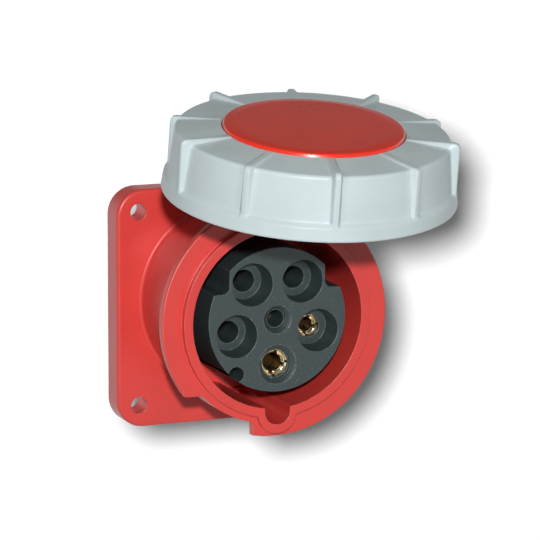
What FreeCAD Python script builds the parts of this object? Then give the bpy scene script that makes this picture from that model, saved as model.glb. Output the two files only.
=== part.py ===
import FreeCAD, Part
import math
import os
from collections import namedtuple
from types import SimpleNamespace

import Sketcher

# Panel socket with five contacts and a pilot, and a hinged bayonet lid.
# The panel is the plane Y = 0 and the socket faces -Y. The origin is the middle of the bolt pattern.
# Barrel pieces are drawn in the barrel's own frame: x to the right, y up, z out of the panel.
# Lid pieces are drawn with z = 0 at the mouth of the locking ring and z outward.

SIZES = {
    "flange_side": 101.5,
    "flange_thickness": 12.0,
    "flange_corner_radius": 11.5,
    "flange_edge_radius": 1.4,
    "flange_wall": 3.5,
    "plate_thickness": 8.0,
    "bolt_spacing": 82.6,
    "bolt_hole_radius": 3.5,
    "bolt_boss_wall": 3.0,
    "axis_rise": 2.7,
    "hub_radius": 47.5,
    "groove_radius": 43.0,
    "groove_width": 3.0,
    "groove_depth": 2.0,
    "barrel_bore_radius": 37.2,
    "barrel_wall": 2.8,
    "neck_fillet_radius": 1.0,
    "band_radius": 44.0,
    "band_length": 11.0,
    "band_slope": 4.0,
    "collar_radius": 49.5,
    "collar_thickness": 4.1,
    "collar_front": 62.5,
    "collar_edge_radius": 0.6,
    "gap_side_x": 9.8,
    "gap_side_y": 30.0,
    "lip_radius": 41.0,
    "lip_height": 2.9,
    "keyway_half_width": 5.6,
    "keyway_centre": 38.4,
    "keyway_wall": 2.7,
    "keyway_floor_wall": 3.8,
    "floor_thickness": 9.0,
    "insert_radius": 30.1,
    "insert_clearance": 0.4,
    "insert_setback": 0.7,
    "base_flange_radius": 37.5,
    "base_flange_thickness": 2.2,
    "seat_clearance": 0.3,
    "gasket_thickness": 0.8,
    "notch_side_x": 21.0,
    "notch_floor_y": 12.0,
    "notch_corner_radius": 3.0,
    "scallop_radius": 3.3,
    "scallop_pitch_radius": 28.3,
    "scallop_angle": 230.5,
    "contact_pitch_radius": 18.8,
    "earth_angle": 270.0,
    "power_bore_radius": 4.05,
    "earth_bore_radius": 5.05,
    "pilot_bore_radius": 3.05,
    "sleeve_wall": 1.7,
    "power_mouth_radius": 9.0,
    "power_mouth_floor_radius": 7.7,
    "power_mouth_depth": 10.0,
    "earth_mouth_radius": 8.4,
    "pilot_mouth_radius": 6.2,
    "dish_depth": 2.5,
    "dish_taper": 0.5,
    "entry_play": 0.6,
    "entry_lip": 1.4,
    "line_lip": 20.0,
    "pilot_lip": 13.0,
    "sleeve_end_gap": 0.2,
    "spring_thickness": 0.6,
    "spring_length": 4.0,
    "spring_offset": 2.0,
    "spring_play": 0.1,
    "chamber_play": 0.5,
    "sleeve_slot_width": 1.0,
    "sleeve_slot_share": 0.47,
    "pin_bore_end": 15.0,
    "contact_collar_width": 0.9,
    "contact_collar_length": 2.0,
    "contact_fit": 0.1,
    "terminal_wall": 3.0,
    "terminal_length": 24.0,
    "wire_bore_radius": 3.6,
    "pilot_wire_bore_radius": 2.2,
    "wire_bore_depth": 18.0,
    "carrier_radius": 30.0,
    "carrier_length": 30.0,
    "carrier_flange_thickness": 3.0,
    "wire_entry_radius": 5.2,
    "clamp_screw_radius": 3.0,
    "pilot_screw_radius": 1.5,
    "clamp_screw_depth": 14.0,
    "clamp_screw_recess": 1.5,
    "access_play": 0.5,
    "thread_play": 0.03,
    "fixing_pitch_radius": 34.4,
    "fixing_first_angle": 45.0,
    "fixing_screw_radius": 1.9,
    "fixing_screw_grip": 8.0,
    "screw_tip_gap": 1.0,
    "fixing_head_radius": 2.9,
    "fixing_head_height": 2.4,
    "fixing_hole_play": 0.3,
    "lid_open_angle": 80.4,
    "lid_mouth_depth": 49.5,
    "hinge_depth": 39.5,
    "hinge_overhang": 5.0,
    "hinge_pin_radius": 2.0,
    "hinge_pin_head": 1.2,
    "hinge_fit": 0.05,
    "ear_radius": 4.8,
    "ear_thickness": 4.5,
    "ear_foot": 8.0,
    "knuckle_radius": 4.2,
    "knuckle_width": 17.0,
    "knuckle_gap": 0.5,
    "ear_web_height": 48.0,
    "rim_step": 2.5,
    "rim_height": 5.6,
    "rim_draft": 0.7,
    "rim_bore_step": 0.4,
    "rim_bore_depth": 4.0,
    "shoulder_height": 7.2,
    "ring_wall_draft": 1.8,
    "ring_wall": 2.4,
    "ring_edge_radius": 1.2,
    "ring_height": 25.4,
    "ring_crown": 1.9,
    "ring_ledge": 2.0,
    "ring_bearing_radius": 34.0,
    "running_gap": 0.3,
    "lug_radius": 44.8,
    "lug_thickness": 4.0,
    "lug_angle": 60.0,
    "lug_width_angle": 20.0,
    "rib_width": 3.2,
    "rib_first_angle": 5.2,
    "rib_corner_radius": 2.6,
    "rib_inner_radius": 39.5,
    "tall_rib_height": 2.1,
    "tall_rib_depth": 3.4,
    "low_rib_height": 1.3,
    "low_rib_depth": 2.6,
    "cap_radius": 37.0,
    "cap_edge_height": 1.4,
    "cap_lip_radius": 1.6,
    "cap_crown": 0.3,
    "cap_shell": 2.2,
    "seal_inner_radius": 35.5,
    "seal_width": 13.0,
    "seal_thickness": 3.3,
    "seal_seat_depth": 1.0,
    "cover_edge": 2.5,
    "cover_thickness": 2.8,
    "cover_boss_radius": 24.0,
    "washer_thickness": 1.0,
    "washer_width": 10.0,
    "arm_angle": 19.0,
    "arm_overlap": 1.0,
    "arm_thickness": 2.4,
    "arm_clearance": 2.0,
    "lid_screw_pitch_radius": 16.0,
    "lid_screw_radius": 1.5,
    "lid_screw_head_radius": 3.0,
    "lid_screw_head_height": 1.6,
    "lid_post_radius": 3.4,
    "cut_overrun": 1.0,
}

RIB_PAIRS = 5
LUG_COUNT = 2
FIXING_COUNT = 4
LID_SCREW_COUNT = 3
POWER_STEPS = {"l1": 2, "l2": 3, "l3": 4, "neutral": 1}
CONTACT_STEP = 72.0
LID_SCREW_FIRST_ANGLE = 90.0
TOLERANCE = 0.001

Arc = namedtuple("Arc", "centre end turn")


class Size:
    """A number together with the sheet formula that gives it."""

    def __init__(self, value, formula):
        self.value = float(value)
        self.formula = formula

    def __add__(self, other):
        other = as_size(other)
        return Size(self.value + other.value, f"({self.formula} + {other.formula})")

    def __sub__(self, other):
        other = as_size(other)
        return Size(self.value - other.value, f"({self.formula} - {other.formula})")

    def __mul__(self, other):
        other = as_size(other)
        return Size(self.value * other.value, f"({self.formula} * {other.formula})")

    def __truediv__(self, other):
        other = as_size(other)
        return Size(self.value / other.value, f"({self.formula} / {other.formula})")

    def __neg__(self):
        return Size(-self.value, f"(-1 * {self.formula})")

    __radd__ = __add__
    __rmul__ = __mul__

    def __rsub__(self, other):
        return as_size(other) - self


def as_size(value):
    """Give a plain number the same form as a size from the sheet."""
    return value if isinstance(value, Size) else Size(value, f"({float(value)})")


def cosine(angle):
    """Cosine of an angle in degrees, as a size."""
    angle = as_size(angle)
    return Size(math.cos(math.radians(angle.value)), f"cos({angle.formula})")


def sine(angle):
    """Sine of an angle in degrees, as a size."""
    angle = as_size(angle)
    return Size(math.sin(math.radians(angle.value)), f"sin({angle.formula})")


def chord_reach(radius, offset):
    """Distance along a chord from its middle to the circle, for a chord at an offset from the centre."""
    value = math.sqrt(radius.value ** 2 - offset.value ** 2)
    return Size(value, f"sqrt({radius.formula} ^ 2 - {offset.formula} ^ 2)")


def polar(radius, angle):
    """Point at a radius and an angle in degrees."""
    return radius * cosine(angle), radius * sine(angle)


doc = FreeCAD.newDocument("panel_socket")
sheet = doc.addObject("Spreadsheet::Sheet", "Sizes")
for row, (alias, amount) in enumerate(SIZES.items(), start=1):
    sheet.set(f"A{row}", alias)
    sheet.set(f"B{row}", str(amount))
    sheet.setAlias(f"B{row}", alias)
doc.recompute()
s = SimpleNamespace(**{alias: Size(amount, f"Sizes.{alias}") for alias, amount in SIZES.items()})

nodes = []

# Heights along the barrel axis that several pieces share.
core_depth = s.flange_thickness - s.plate_thickness
neck_radius = s.barrel_bore_radius + s.barrel_wall
collar_back = s.collar_front - s.collar_thickness
lip_front = s.collar_front + s.lip_height
insert_face = lip_front - s.insert_setback
floor_bore_radius = s.insert_radius + s.insert_clearance
seat_depth = s.flange_thickness - s.floor_thickness
seat_radius = s.base_flange_radius + s.seat_clearance
ear_inside = s.knuckle_width / 2 + s.knuckle_gap
ear_outside = ear_inside + s.ear_thickness

# Heights in the lid, measured outward from the mouth of the locking ring.
seal_face = lip_front + s.running_gap - s.lid_mouth_depth
cover_face = seal_face + s.seal_thickness - s.seal_seat_depth
cover_back = cover_face + s.cover_thickness
ring_underside = cover_back + s.washer_thickness + s.running_gap
ring_ledge_top = ring_underside + s.ring_ledge
ring_crown_height = s.ring_height + s.ring_crown
cap_underside = ring_ledge_top + s.running_gap
lug_top = collar_back - s.lid_mouth_depth - s.running_gap
lug_bottom = lug_top - s.lug_thickness
knuckle_level = s.hinge_depth - s.lid_mouth_depth

# Radii in the lid, from the seal outward to the rim of the ring.
seal_outer_radius = s.seal_inner_radius + s.seal_width
cover_radius = seal_outer_radius + s.cover_edge
arm_inner_radius = cover_radius - s.arm_overlap
arm_outer_radius = arm_inner_radius + s.arm_thickness
ring_wall_radius = arm_outer_radius + s.arm_clearance + s.ring_wall
ring_top_radius = ring_wall_radius - s.ring_wall_draft
rim_radius = ring_wall_radius + s.rim_step
rim_bore_radius = ring_wall_radius - s.rim_bore_step
hinge_height = arm_outer_radius + s.hinge_overhang


def bind(item, **settings):
    """Set properties of a feature: sizes as formulas, the rest as they are."""
    for name, value in settings.items():
        if isinstance(value, Size):
            item.setExpression(name, value.formula)
        else:
            setattr(item, name, value)
    return item


def place(item, x=0.0, y=0.0, z=0.0, turn=None):
    """Bind a piece's place to the sheet, with an optional turn about the X axis."""
    if turn is not None:
        item.Placement = FreeCAD.Placement(
            FreeCAD.Vector(), FreeCAD.Rotation(FreeCAD.Vector(1, 0, 0), as_size(turn).value))
        item.setExpression("Placement.Rotation.Angle", as_size(turn).formula)
    for letter, value in (("x", x), ("y", y), ("z", z)):
        item.setExpression(f"Placement.Base.{letter}", as_size(value).formula)
    return item


def place_in_barrel(item, x=0.0, y=0.0):
    """Stand a piece in the barrel's frame, at a point across its axis."""
    return place(item, x, 0.0, s.axis_rise + y, turn=90.0)


def place_in_lid(item):
    """Stand a piece in the lid, swung open about the hinge."""
    reach = s.lid_mouth_depth - s.hinge_depth
    across = reach * cosine(s.lid_open_angle) + hinge_height * sine(s.lid_open_angle)
    rise = reach * sine(s.lid_open_angle) - hinge_height * cosine(s.lid_open_angle)
    return place(item, 0.0, -s.hinge_depth - across, s.axis_rise + hinge_height + rise,
                 turn=90.0 - s.lid_open_angle)


def new_body(label):
    """Start a sub-part that is made from sketches."""
    body = doc.addObject("PartDesign::Body", label)
    body.Label = label
    nodes.append(body)
    return body


def sketch_on(body, name, plane, offset=0.0, turn=0.0):
    """Start a sketch on an origin plane, moved off it, or turned about the piece's axis."""
    sketch = body.newObject("Sketcher::SketchObject", f"{body.Label}_{name}")
    support = [item for item in body.Origin.OriginFeatures if item.Role == plane][0]
    sketch.AttachmentSupport = [(support, "")]
    sketch.MapMode = "FlatFace"
    turn = as_size(turn)
    if turn.value:
        sketch.AttachmentOffset = FreeCAD.Placement(
            FreeCAD.Vector(), FreeCAD.Rotation(FreeCAD.Vector(0, 1, 0), turn.value))
    sketch.setExpression("AttachmentOffset.Base.z", as_size(offset).formula)
    return sketch


def hold(sketch, kind, geometry, point, size):
    """Fix a point of a sketch at a signed distance from the origin."""
    size = as_size(size)
    index = sketch.addConstraint(Sketcher.Constraint(kind, -1, 1, geometry, point, size.value))
    sketch.setExpression(f"Constraints[{index}]", size.formula)


def vector(point):
    """Plain vector of a point whose coordinates are sizes."""
    return FreeCAD.Vector(as_size(point[0]).value, as_size(point[1]).value, 0)


def draw(sketch, start, *moves):
    """Draw a closed outline from a start point by lines and arcs. The last side is a line."""
    sides = []
    here = start
    for move in moves + (start,):
        if isinstance(move, Arc):
            centre = vector(move.centre)
            first = vector(here) - centre
            last = vector(move.end) - centre
            ends = [math.atan2(first.y, first.x), math.atan2(last.y, last.x)]
            if move.turn < 0:
                ends.reverse()
            circle = Part.Circle(centre, FreeCAD.Vector(0, 0, 1), first.Length)
            side = sketch.addGeometry(Part.ArcOfCircle(circle, ends[0], ends[1]), False)
            hold(sketch, "DistanceX", side, 3, move.centre[0])
            hold(sketch, "DistanceY", side, 3, move.centre[1])
            sides.append((side, 1 if move.turn > 0 else 2, 2 if move.turn > 0 else 1, last))
            here = move.end
        else:
            side = sketch.addGeometry(Part.LineSegment(vector(here), vector(move)), False)
            sides.append((side, 1, 2, None))
            here = move
    corners = [start] + [move.end if isinstance(move, Arc) else move for move in moves]
    for index, (side, head, tail, arm) in enumerate(sides):
        following, next_head = sides[(index + 1) % len(sides)][:2]
        sketch.addConstraint(Sketcher.Constraint("Coincident", side, tail, following, next_head))
        corner = corners[(index + 1) % len(sides)]
        if arm is None or abs(arm.y) >= abs(arm.x):
            hold(sketch, "DistanceX", side, tail, corner[0])
        if arm is None or abs(arm.y) < abs(arm.x):
            hold(sketch, "DistanceY", side, tail, corner[1])
    return sketch


def draw_circle(sketch, radius, x=0.0, y=0.0):
    """Draw a circle at a point."""
    centre = vector((x, y))
    index = sketch.addGeometry(
        Part.Circle(centre, FreeCAD.Vector(0, 0, 1), as_size(radius).value), False)
    hold(sketch, "DistanceX", index, 3, x)
    hold(sketch, "DistanceY", index, 3, y)
    number = sketch.addConstraint(Sketcher.Constraint("Radius", index, as_size(radius).value))
    sketch.setExpression(f"Constraints[{number}]", as_size(radius).formula)
    return sketch


def draw_rounded_square(sketch, half_side, radius, drop):
    """Draw a square with round corners whose middle lies below the barrel axis."""
    inner = half_side - radius
    draw(sketch,
         (inner, -half_side - drop),
         Arc((inner, -inner - drop), (half_side, -inner - drop), 1),
         (half_side, inner - drop),
         Arc((inner, inner - drop), (inner, half_side - drop), 1),
         (-inner, half_side - drop),
         Arc((-inner, inner - drop), (-half_side, inner - drop), 1),
         (-half_side, -inner - drop),
         Arc((-inner, -inner - drop), (-inner, -half_side - drop), 1))
    return sketch


def add_feature(body, kind, sketch, **settings):
    """Add a sketch-based feature to a body."""
    feature = body.newObject(f"PartDesign::{kind}", f"{sketch.Label}_{kind.lower()}")
    feature.Profile = sketch
    return bind(feature, **settings)


def add_turned(body, name, points, turn=0.0, kind="Revolution", angle=360.0, midplane=False):
    """Turn an outline of radius and height about the piece's axis, adding or cutting."""
    sketch = draw(sketch_on(body, name, "XZ_Plane", turn=turn), *points)
    return add_feature(body, kind, sketch, ReferenceAxis=(sketch, ["V_Axis"]), Angle=angle,
                       Midplane=midplane)


def cut_round_pocket(body, name, points, pitch_radius, angle):
    """Cut an outline turned about a line beside the piece's axis and parallel to it."""
    sketch = sketch_on(body, name, "XZ_Plane", turn=angle)
    draw(sketch, *[(pitch_radius + point[0], point[1]) for point in points])
    low = as_size(points[0][1])
    high = as_size(points[-1][1])
    line = sketch.addGeometry(
        Part.LineSegment(vector((pitch_radius, low)), vector((pitch_radius, high))), True)
    for end, level in ((1, low), (2, high)):
        hold(sketch, "DistanceX", line, end, pitch_radius)
        hold(sketch, "DistanceY", line, end, level)
    return add_feature(body, "Groove", sketch, ReferenceAxis=(sketch, ["Axis0"]), Angle=360.0)


def cut_radial_hole(body, name, radius, start, reach, level, angle):
    """Drill a hole across the piece, outward from a radius, at a level and an angle."""
    sketch = sketch_on(body, name, "XZ_Plane", turn=angle)
    draw(sketch, (start, level), (reach, level), (reach, level + radius), (start, level + radius))
    line = sketch.addGeometry(Part.LineSegment(vector((start, level)), vector((reach, level))), True)
    for end, along in ((1, start), (2, reach)):
        hold(sketch, "DistanceX", line, end, along)
        hold(sketch, "DistanceY", line, end, level)
    return add_feature(body, "Groove", sketch, ReferenceAxis=(sketch, ["Axis0"]), Angle=360.0)


def repeat_round(body, feature, count):
    """Repeat a feature evenly round the piece's axis."""
    axis = [item for item in body.Origin.OriginFeatures if item.Role == "Z_Axis"][0]
    pattern = body.newObject("PartDesign::PolarPattern", f"{feature.Label}_pattern")
    pattern.Originals = [feature]
    pattern.Axis = (axis, [""])
    pattern.Angle = 360.0
    pattern.Occurrences = count
    body.Tip = pattern
    return pattern


def round_edges(body, radius, wanted):
    """Round the edges of a body that a test picks."""
    doc.recompute()
    base = body.Tip
    names = [f"Edge{index}" for index, edge in enumerate(base.Shape.Edges, start=1) if wanted(edge)]
    fillet = body.newObject("PartDesign::Fillet", f"{body.Label}_fillet")
    fillet.Base = (base, names)
    fillet.setExpression("Radius", radius.formula)
    doc.recompute()
    return fillet


def lies_at(edge, level):
    """Whether an edge lies flat at a height along the piece's axis."""
    box = edge.BoundBox
    return abs(box.ZMin - level.value) < TOLERANCE and abs(box.ZMax - level.value) < TOLERANCE


def is_ring(edge, radius):
    """Whether an edge is an arc of this radius round the piece's axis."""
    curve = edge.Curve
    if not isinstance(curve, Part.Circle) or abs(curve.Radius - radius.value) > TOLERANCE:
        return False
    return math.hypot(curve.Center.x, curve.Center.y) < TOLERANCE


def contact_angle(step):
    """Angle of a contact hole, counted in steps from the earth contact."""
    return s.earth_angle + CONTACT_STEP * step


# One power, earth or pilot contact: how its hole, chamber, sleeve and terminal are sized.
Contact = namedtuple(
    "Contact", "name pitch angle bore mouth mouth_floor mouth_depth lip wire_bore screw")

contacts = [
    Contact(name, s.contact_pitch_radius, contact_angle(step), s.power_bore_radius,
            s.power_mouth_radius, s.power_mouth_floor_radius, s.power_mouth_depth,
            s.entry_lip if name == "neutral" else s.line_lip, s.wire_bore_radius, s.clamp_screw_radius)
    for name, step in POWER_STEPS.items()]
contacts.append(
    Contact("earth", s.contact_pitch_radius, contact_angle(0), s.earth_bore_radius,
            s.earth_mouth_radius, s.earth_mouth_radius - s.dish_taper, s.dish_depth, s.entry_lip,
            s.wire_bore_radius, s.clamp_screw_radius))
contacts.append(
    Contact("pilot", as_size(0.0), s.earth_angle - 180.0, s.pilot_bore_radius,
            s.pilot_mouth_radius, s.pilot_mouth_radius - s.dish_taper, s.dish_depth, s.pilot_lip,
            s.pilot_wire_bore_radius, s.pilot_screw_radius))


def sleeve_radius(contact):
    """Outer radius of a contact's sleeve."""
    return contact.bore + s.sleeve_wall


def chamber_radius(contact):
    """Radius of the chamber that holds a sleeve with its spring."""
    return sleeve_radius(contact) + s.spring_thickness + s.chamber_play


def chamber_top(contact):
    """Height of the front end of a contact's chamber."""
    return insert_face - contact.mouth_depth - contact.lip


def terminal_radius(contact):
    """Outer radius of the wire terminal behind a contact."""
    return contact.wire_bore + s.terminal_wall


def terminal_chamber_radius(contact):
    """Radius of the chamber that holds a terminal."""
    return terminal_radius(contact) + s.chamber_play


def contact_collar_radius(contact):
    """Radius of the collar that is trapped between insert and carrier."""
    return chamber_radius(contact) + s.contact_collar_width


def draw_bolt_circles(body, name, level, radius):
    """Draw a circle at each corner of the bolt pattern."""
    sketch = sketch_on(body, name, "XY_Plane", level)
    for side in (-1, 1):
        for row in (-1, 1):
            draw_circle(sketch, radius, s.bolt_spacing * (side / 2),
                        s.bolt_spacing * (row / 2) - s.axis_rise)
    return sketch


def build_flange():
    """Square flange: plate with a skirt, bolt bosses and a hub behind it, and the seat of the insert."""
    body = new_body("flange")
    drop = s.axis_rise
    half = s.flange_side / 2
    plate = draw_rounded_square(sketch_on(body, "plate", "XY_Plane", core_depth), half,
                                s.flange_corner_radius, drop)
    add_feature(body, "Pad", plate, Length=s.plate_thickness)
    skirt = draw_rounded_square(sketch_on(body, "skirt", "XY_Plane"), half,
                                s.flange_corner_radius, drop)
    draw_rounded_square(skirt, half - s.flange_wall, s.flange_corner_radius - s.flange_wall, drop)
    add_feature(body, "Pad", skirt, Length=core_depth)
    bosses = draw_bolt_circles(body, "bolt_bosses", 0.0, s.bolt_hole_radius + s.bolt_boss_wall)
    add_feature(body, "Pad", bosses, Length=core_depth)
    add_turned(body, "hub", [
        (0.0, 0.0), (s.hub_radius, 0.0), (s.hub_radius, core_depth + s.cut_overrun),
        (0.0, core_depth + s.cut_overrun)])
    round_edges(body, s.flange_edge_radius,
                lambda edge: lies_at(edge, s.flange_thickness)
                and max(abs(edge.CenterOfMass.x), abs(edge.CenterOfMass.y + drop.value))
                > half.value - s.flange_corner_radius.value)
    add_turned(body, "seat", [
        (0.0, -s.cut_overrun), (seat_radius, -s.cut_overrun), (seat_radius, seat_depth),
        (floor_bore_radius, seat_depth), (floor_bore_radius, s.flange_thickness + s.cut_overrun),
        (0.0, s.flange_thickness + s.cut_overrun)], kind="Groove")
    groove_outer = s.groove_radius + s.groove_width
    add_turned(body, "gasket_groove", [
        (s.groove_radius, -s.cut_overrun), (groove_outer, -s.cut_overrun),
        (groove_outer, s.groove_depth), (s.groove_radius, s.groove_depth)], kind="Groove")
    bolts = draw_bolt_circles(body, "bolt_holes", -s.cut_overrun, s.bolt_hole_radius)
    add_feature(body, "Pocket", bolts, Length=s.flange_thickness + s.cut_overrun * 2, Reversed=True)
    fixings = sketch_on(body, "fixing_holes", "XY_Plane", seat_depth)
    for index in range(FIXING_COUNT):
        x, y = polar(s.fixing_pitch_radius, s.fixing_first_angle + 360.0 / FIXING_COUNT * index)
        draw_circle(fixings, s.fixing_screw_radius + s.thread_play, x, y)
    add_feature(body, "Pocket", fixings, Length=s.fixing_screw_grip, Reversed=True)
    place_in_barrel(body)


def build_housing():
    """Barrel on the flange: neck, band, bayonet collar, mouth ring and keyway, with the hinge ears."""
    body = new_body("housing")
    foot = s.flange_thickness
    fillet = s.neck_fillet_radius
    band_start = collar_back - s.band_length
    add_turned(body, "tube", [
        (0.0, foot), (neck_radius + fillet, foot),
        Arc((neck_radius + fillet, foot + fillet), (neck_radius, foot + fillet), -1),
        (neck_radius, band_start - s.band_slope), (s.band_radius, band_start),
        (s.band_radius, s.collar_front), (s.lip_radius, s.collar_front),
        (s.lip_radius, lip_front), (0.0, lip_front)])

    outer_x = chord_reach(s.collar_radius, s.gap_side_y)
    outer_y = chord_reach(s.collar_radius, s.gap_side_x)
    band_x = chord_reach(s.band_radius, s.gap_side_y)
    band_y = chord_reach(s.band_radius, s.gap_side_x)
    centre = (0.0, 0.0)
    collar = draw(
        sketch_on(body, "collar", "XY_Plane", collar_back),
        (band_x, s.gap_side_y),
        Arc(centre, (s.gap_side_x, band_y), 1), (s.gap_side_x, outer_y),
        Arc(centre, (-outer_x, -s.gap_side_y), 1), (-band_x, -s.gap_side_y),
        Arc(centre, (-s.gap_side_x, -band_y), 1), (-s.gap_side_x, -outer_y),
        Arc(centre, (outer_x, s.gap_side_y), 1))
    add_feature(body, "Pad", collar, Length=s.collar_thickness)

    key_outer = s.keyway_half_width + s.keyway_wall
    key_centre = s.keyway_centre + s.keyway_half_width + s.keyway_floor_wall - key_outer
    key_wall = draw(
        sketch_on(body, "key_wall", "XY_Plane", foot),
        (key_outer, -s.insert_radius), (-key_outer, -s.insert_radius), (-key_outer, -key_centre),
        Arc((0.0, -key_centre), (key_outer, -key_centre), 1))
    add_feature(body, "Pad", key_wall, Length=lip_front - foot)

    ears = draw(
        sketch_on(body, "ears", "YZ_Plane"),
        (s.barrel_bore_radius + s.barrel_wall / 2, s.hinge_depth - s.ear_foot),
        (hinge_height, s.hinge_depth - s.ear_radius),
        (hinge_height, s.hinge_depth + s.ear_radius),
        (s.barrel_bore_radius + s.barrel_wall / 2, s.hinge_depth + s.ear_foot))
    add_feature(body, "Pad", ears, Length=ear_outside * 2, Midplane=True)
    heads = draw_circle(sketch_on(body, "ear_heads", "YZ_Plane"), s.ear_radius, hinge_height,
                        s.hinge_depth)
    add_feature(body, "Pad", heads, Length=ear_outside * 2, Midplane=True)
    slot_reach = s.ear_radius + s.ear_foot
    slot = draw(
        sketch_on(body, "ear_slot", "YZ_Plane"),
        (s.ear_web_height, s.hinge_depth - slot_reach),
        (hinge_height + slot_reach, s.hinge_depth - slot_reach),
        (hinge_height + slot_reach, s.hinge_depth + slot_reach),
        (s.ear_web_height, s.hinge_depth + slot_reach))
    add_feature(body, "Pocket", slot, Length=ear_inside * 2, Midplane=True)
    pin_hole = draw_circle(sketch_on(body, "pin_hole", "YZ_Plane"), s.hinge_pin_radius + s.thread_play,
                           hinge_height, s.hinge_depth)
    add_feature(body, "Pocket", pin_hole, Length=ear_outside * 3, Midplane=True)

    add_turned(body, "bore", [
        (0.0, foot - s.cut_overrun), (s.barrel_bore_radius, foot - s.cut_overrun),
        (s.barrel_bore_radius, lip_front + s.cut_overrun), (0.0, lip_front + s.cut_overrun)],
        kind="Groove")
    keyway = draw(
        sketch_on(body, "keyway", "XY_Plane", foot - s.cut_overrun),
        (s.keyway_half_width, -s.insert_radius), (-s.keyway_half_width, -s.insert_radius),
        (-s.keyway_half_width, -s.keyway_centre),
        Arc((0.0, -s.keyway_centre), (s.keyway_half_width, -s.keyway_centre), 1))
    add_feature(body, "Pocket", keyway, Length=lip_front, Reversed=True)
    round_edges(body, s.collar_edge_radius,
                lambda edge: (lies_at(edge, s.collar_front) or lies_at(edge, collar_back))
                and is_ring(edge, s.collar_radius))
    place_in_barrel(body)


def build_flange_gasket():
    """Rubber ring in the rear groove of the flange."""
    body = new_body("flange_gasket")
    inner = s.groove_radius + s.contact_fit
    outer = s.groove_radius + s.groove_width - s.contact_fit
    add_turned(body, "section", [(inner, 0.0), (outer, 0.0), (outer, s.groove_depth - s.contact_fit),
                                 (inner, s.groove_depth - s.contact_fit)])
    place_in_barrel(body)


def build_contact_insert():
    """Insulating moulding with the contact holes, on a base flange that is screwed in from behind."""
    body = new_body("contact_insert")
    add_turned(body, "block", [
        (0.0, 0.0), (s.base_flange_radius, 0.0), (s.base_flange_radius, s.base_flange_thickness),
        (s.insert_radius, s.base_flange_thickness), (s.insert_radius, insert_face),
        (0.0, insert_face)])
    for contact in contacts:
        floor = insert_face - contact.mouth_depth
        entry = contact.bore + s.entry_play
        cut_round_pocket(body, f"hole_{contact.name}", [
            (0.0, -s.cut_overrun), (chamber_radius(contact), -s.cut_overrun),
            (chamber_radius(contact), chamber_top(contact)), (entry, chamber_top(contact)),
            (entry, floor), (contact.mouth_floor, floor), (contact.mouth, insert_face),
            (contact.mouth, insert_face + s.cut_overrun), (0.0, insert_face + s.cut_overrun)],
            contact.pitch, contact.angle)
    notch_length = insert_face - s.base_flange_thickness + s.cut_overrun
    for name, side in (("notch_right", 1), ("notch_left", -1)):
        wall = s.notch_side_x * side
        corner = (s.notch_side_x + s.notch_corner_radius) * side
        out = s.base_flange_radius * side
        notch = draw(
            sketch_on(body, name, "XY_Plane", s.base_flange_thickness),
            (out, s.base_flange_radius), (wall, s.base_flange_radius),
            (wall, s.notch_floor_y + s.notch_corner_radius),
            Arc((corner, s.notch_floor_y + s.notch_corner_radius), (corner, s.notch_floor_y), side),
            (out, s.notch_floor_y))
        add_feature(body, "Pocket", notch, Length=notch_length, Reversed=True)
    x, y = polar(s.scallop_pitch_radius, s.scallop_angle)
    scallop = draw_circle(sketch_on(body, "scallop", "XY_Plane", s.base_flange_thickness),
                          s.scallop_radius, x, y)
    add_feature(body, "Pocket", scallop, Length=notch_length, Reversed=True)
    cut_fixing_holes(body, -s.cut_overrun)
    place_in_barrel(body)


def cut_fixing_holes(body, level):
    """Cut the clearance holes of the fixing screws through a flange."""
    sketch = sketch_on(body, "fixing_holes", "XY_Plane", level)
    for index in range(FIXING_COUNT):
        x, y = polar(s.fixing_pitch_radius, s.fixing_first_angle + 360.0 / FIXING_COUNT * index)
        draw_circle(sketch, s.fixing_screw_radius + s.fixing_hole_play, x, y)
    add_feature(body, "Pocket", sketch, Length=s.base_flange_radius / 4, Reversed=True)


def build_insert_gasket():
    """Flat rubber ring between the insert's base flange and its seat."""
    body = new_body("insert_gasket")
    top = s.base_flange_thickness + s.gasket_thickness
    add_turned(body, "section", [
        (floor_bore_radius, s.base_flange_thickness), (s.base_flange_radius, s.base_flange_thickness),
        (s.base_flange_radius, top), (floor_bore_radius, top)])
    cut_fixing_holes(body, as_size(0.0))
    place_in_barrel(body)


def build_terminal_carrier():
    """Rear insulating block with a chamber, a wire entry and a screw hole for each terminal."""
    body = new_body("terminal_carrier")
    add_turned(body, "block", [
        (0.0, -s.carrier_length), (s.carrier_radius, -s.carrier_length),
        (s.carrier_radius, -s.carrier_flange_thickness),
        (s.base_flange_radius, -s.carrier_flange_thickness), (s.base_flange_radius, 0.0), (0.0, 0.0)])
    end = s.terminal_length + s.sleeve_end_gap
    rear = -s.carrier_length - s.cut_overrun
    for contact in contacts:
        wide = terminal_chamber_radius(contact)
        collar = contact_collar_radius(contact) + s.contact_fit
        entry = s.wire_entry_radius - s.wire_bore_radius + contact.wire_bore
        cut_round_pocket(body, f"chamber_{contact.name}", [
            (0.0, rear), (entry, rear), (entry, -end), (wide, -end),
            (wide, -s.contact_collar_length), (collar, -s.contact_collar_length),
            (collar, s.cut_overrun), (0.0, s.cut_overrun)], contact.pitch, contact.angle)
        cut_radial_hole(body, f"access_{contact.name}", contact.screw + s.access_play, contact.pitch,
                        s.base_flange_radius, -s.clamp_screw_depth, contact.angle)
    cut_fixing_holes(body, -s.base_flange_radius / 8)
    place_in_barrel(body)


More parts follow.
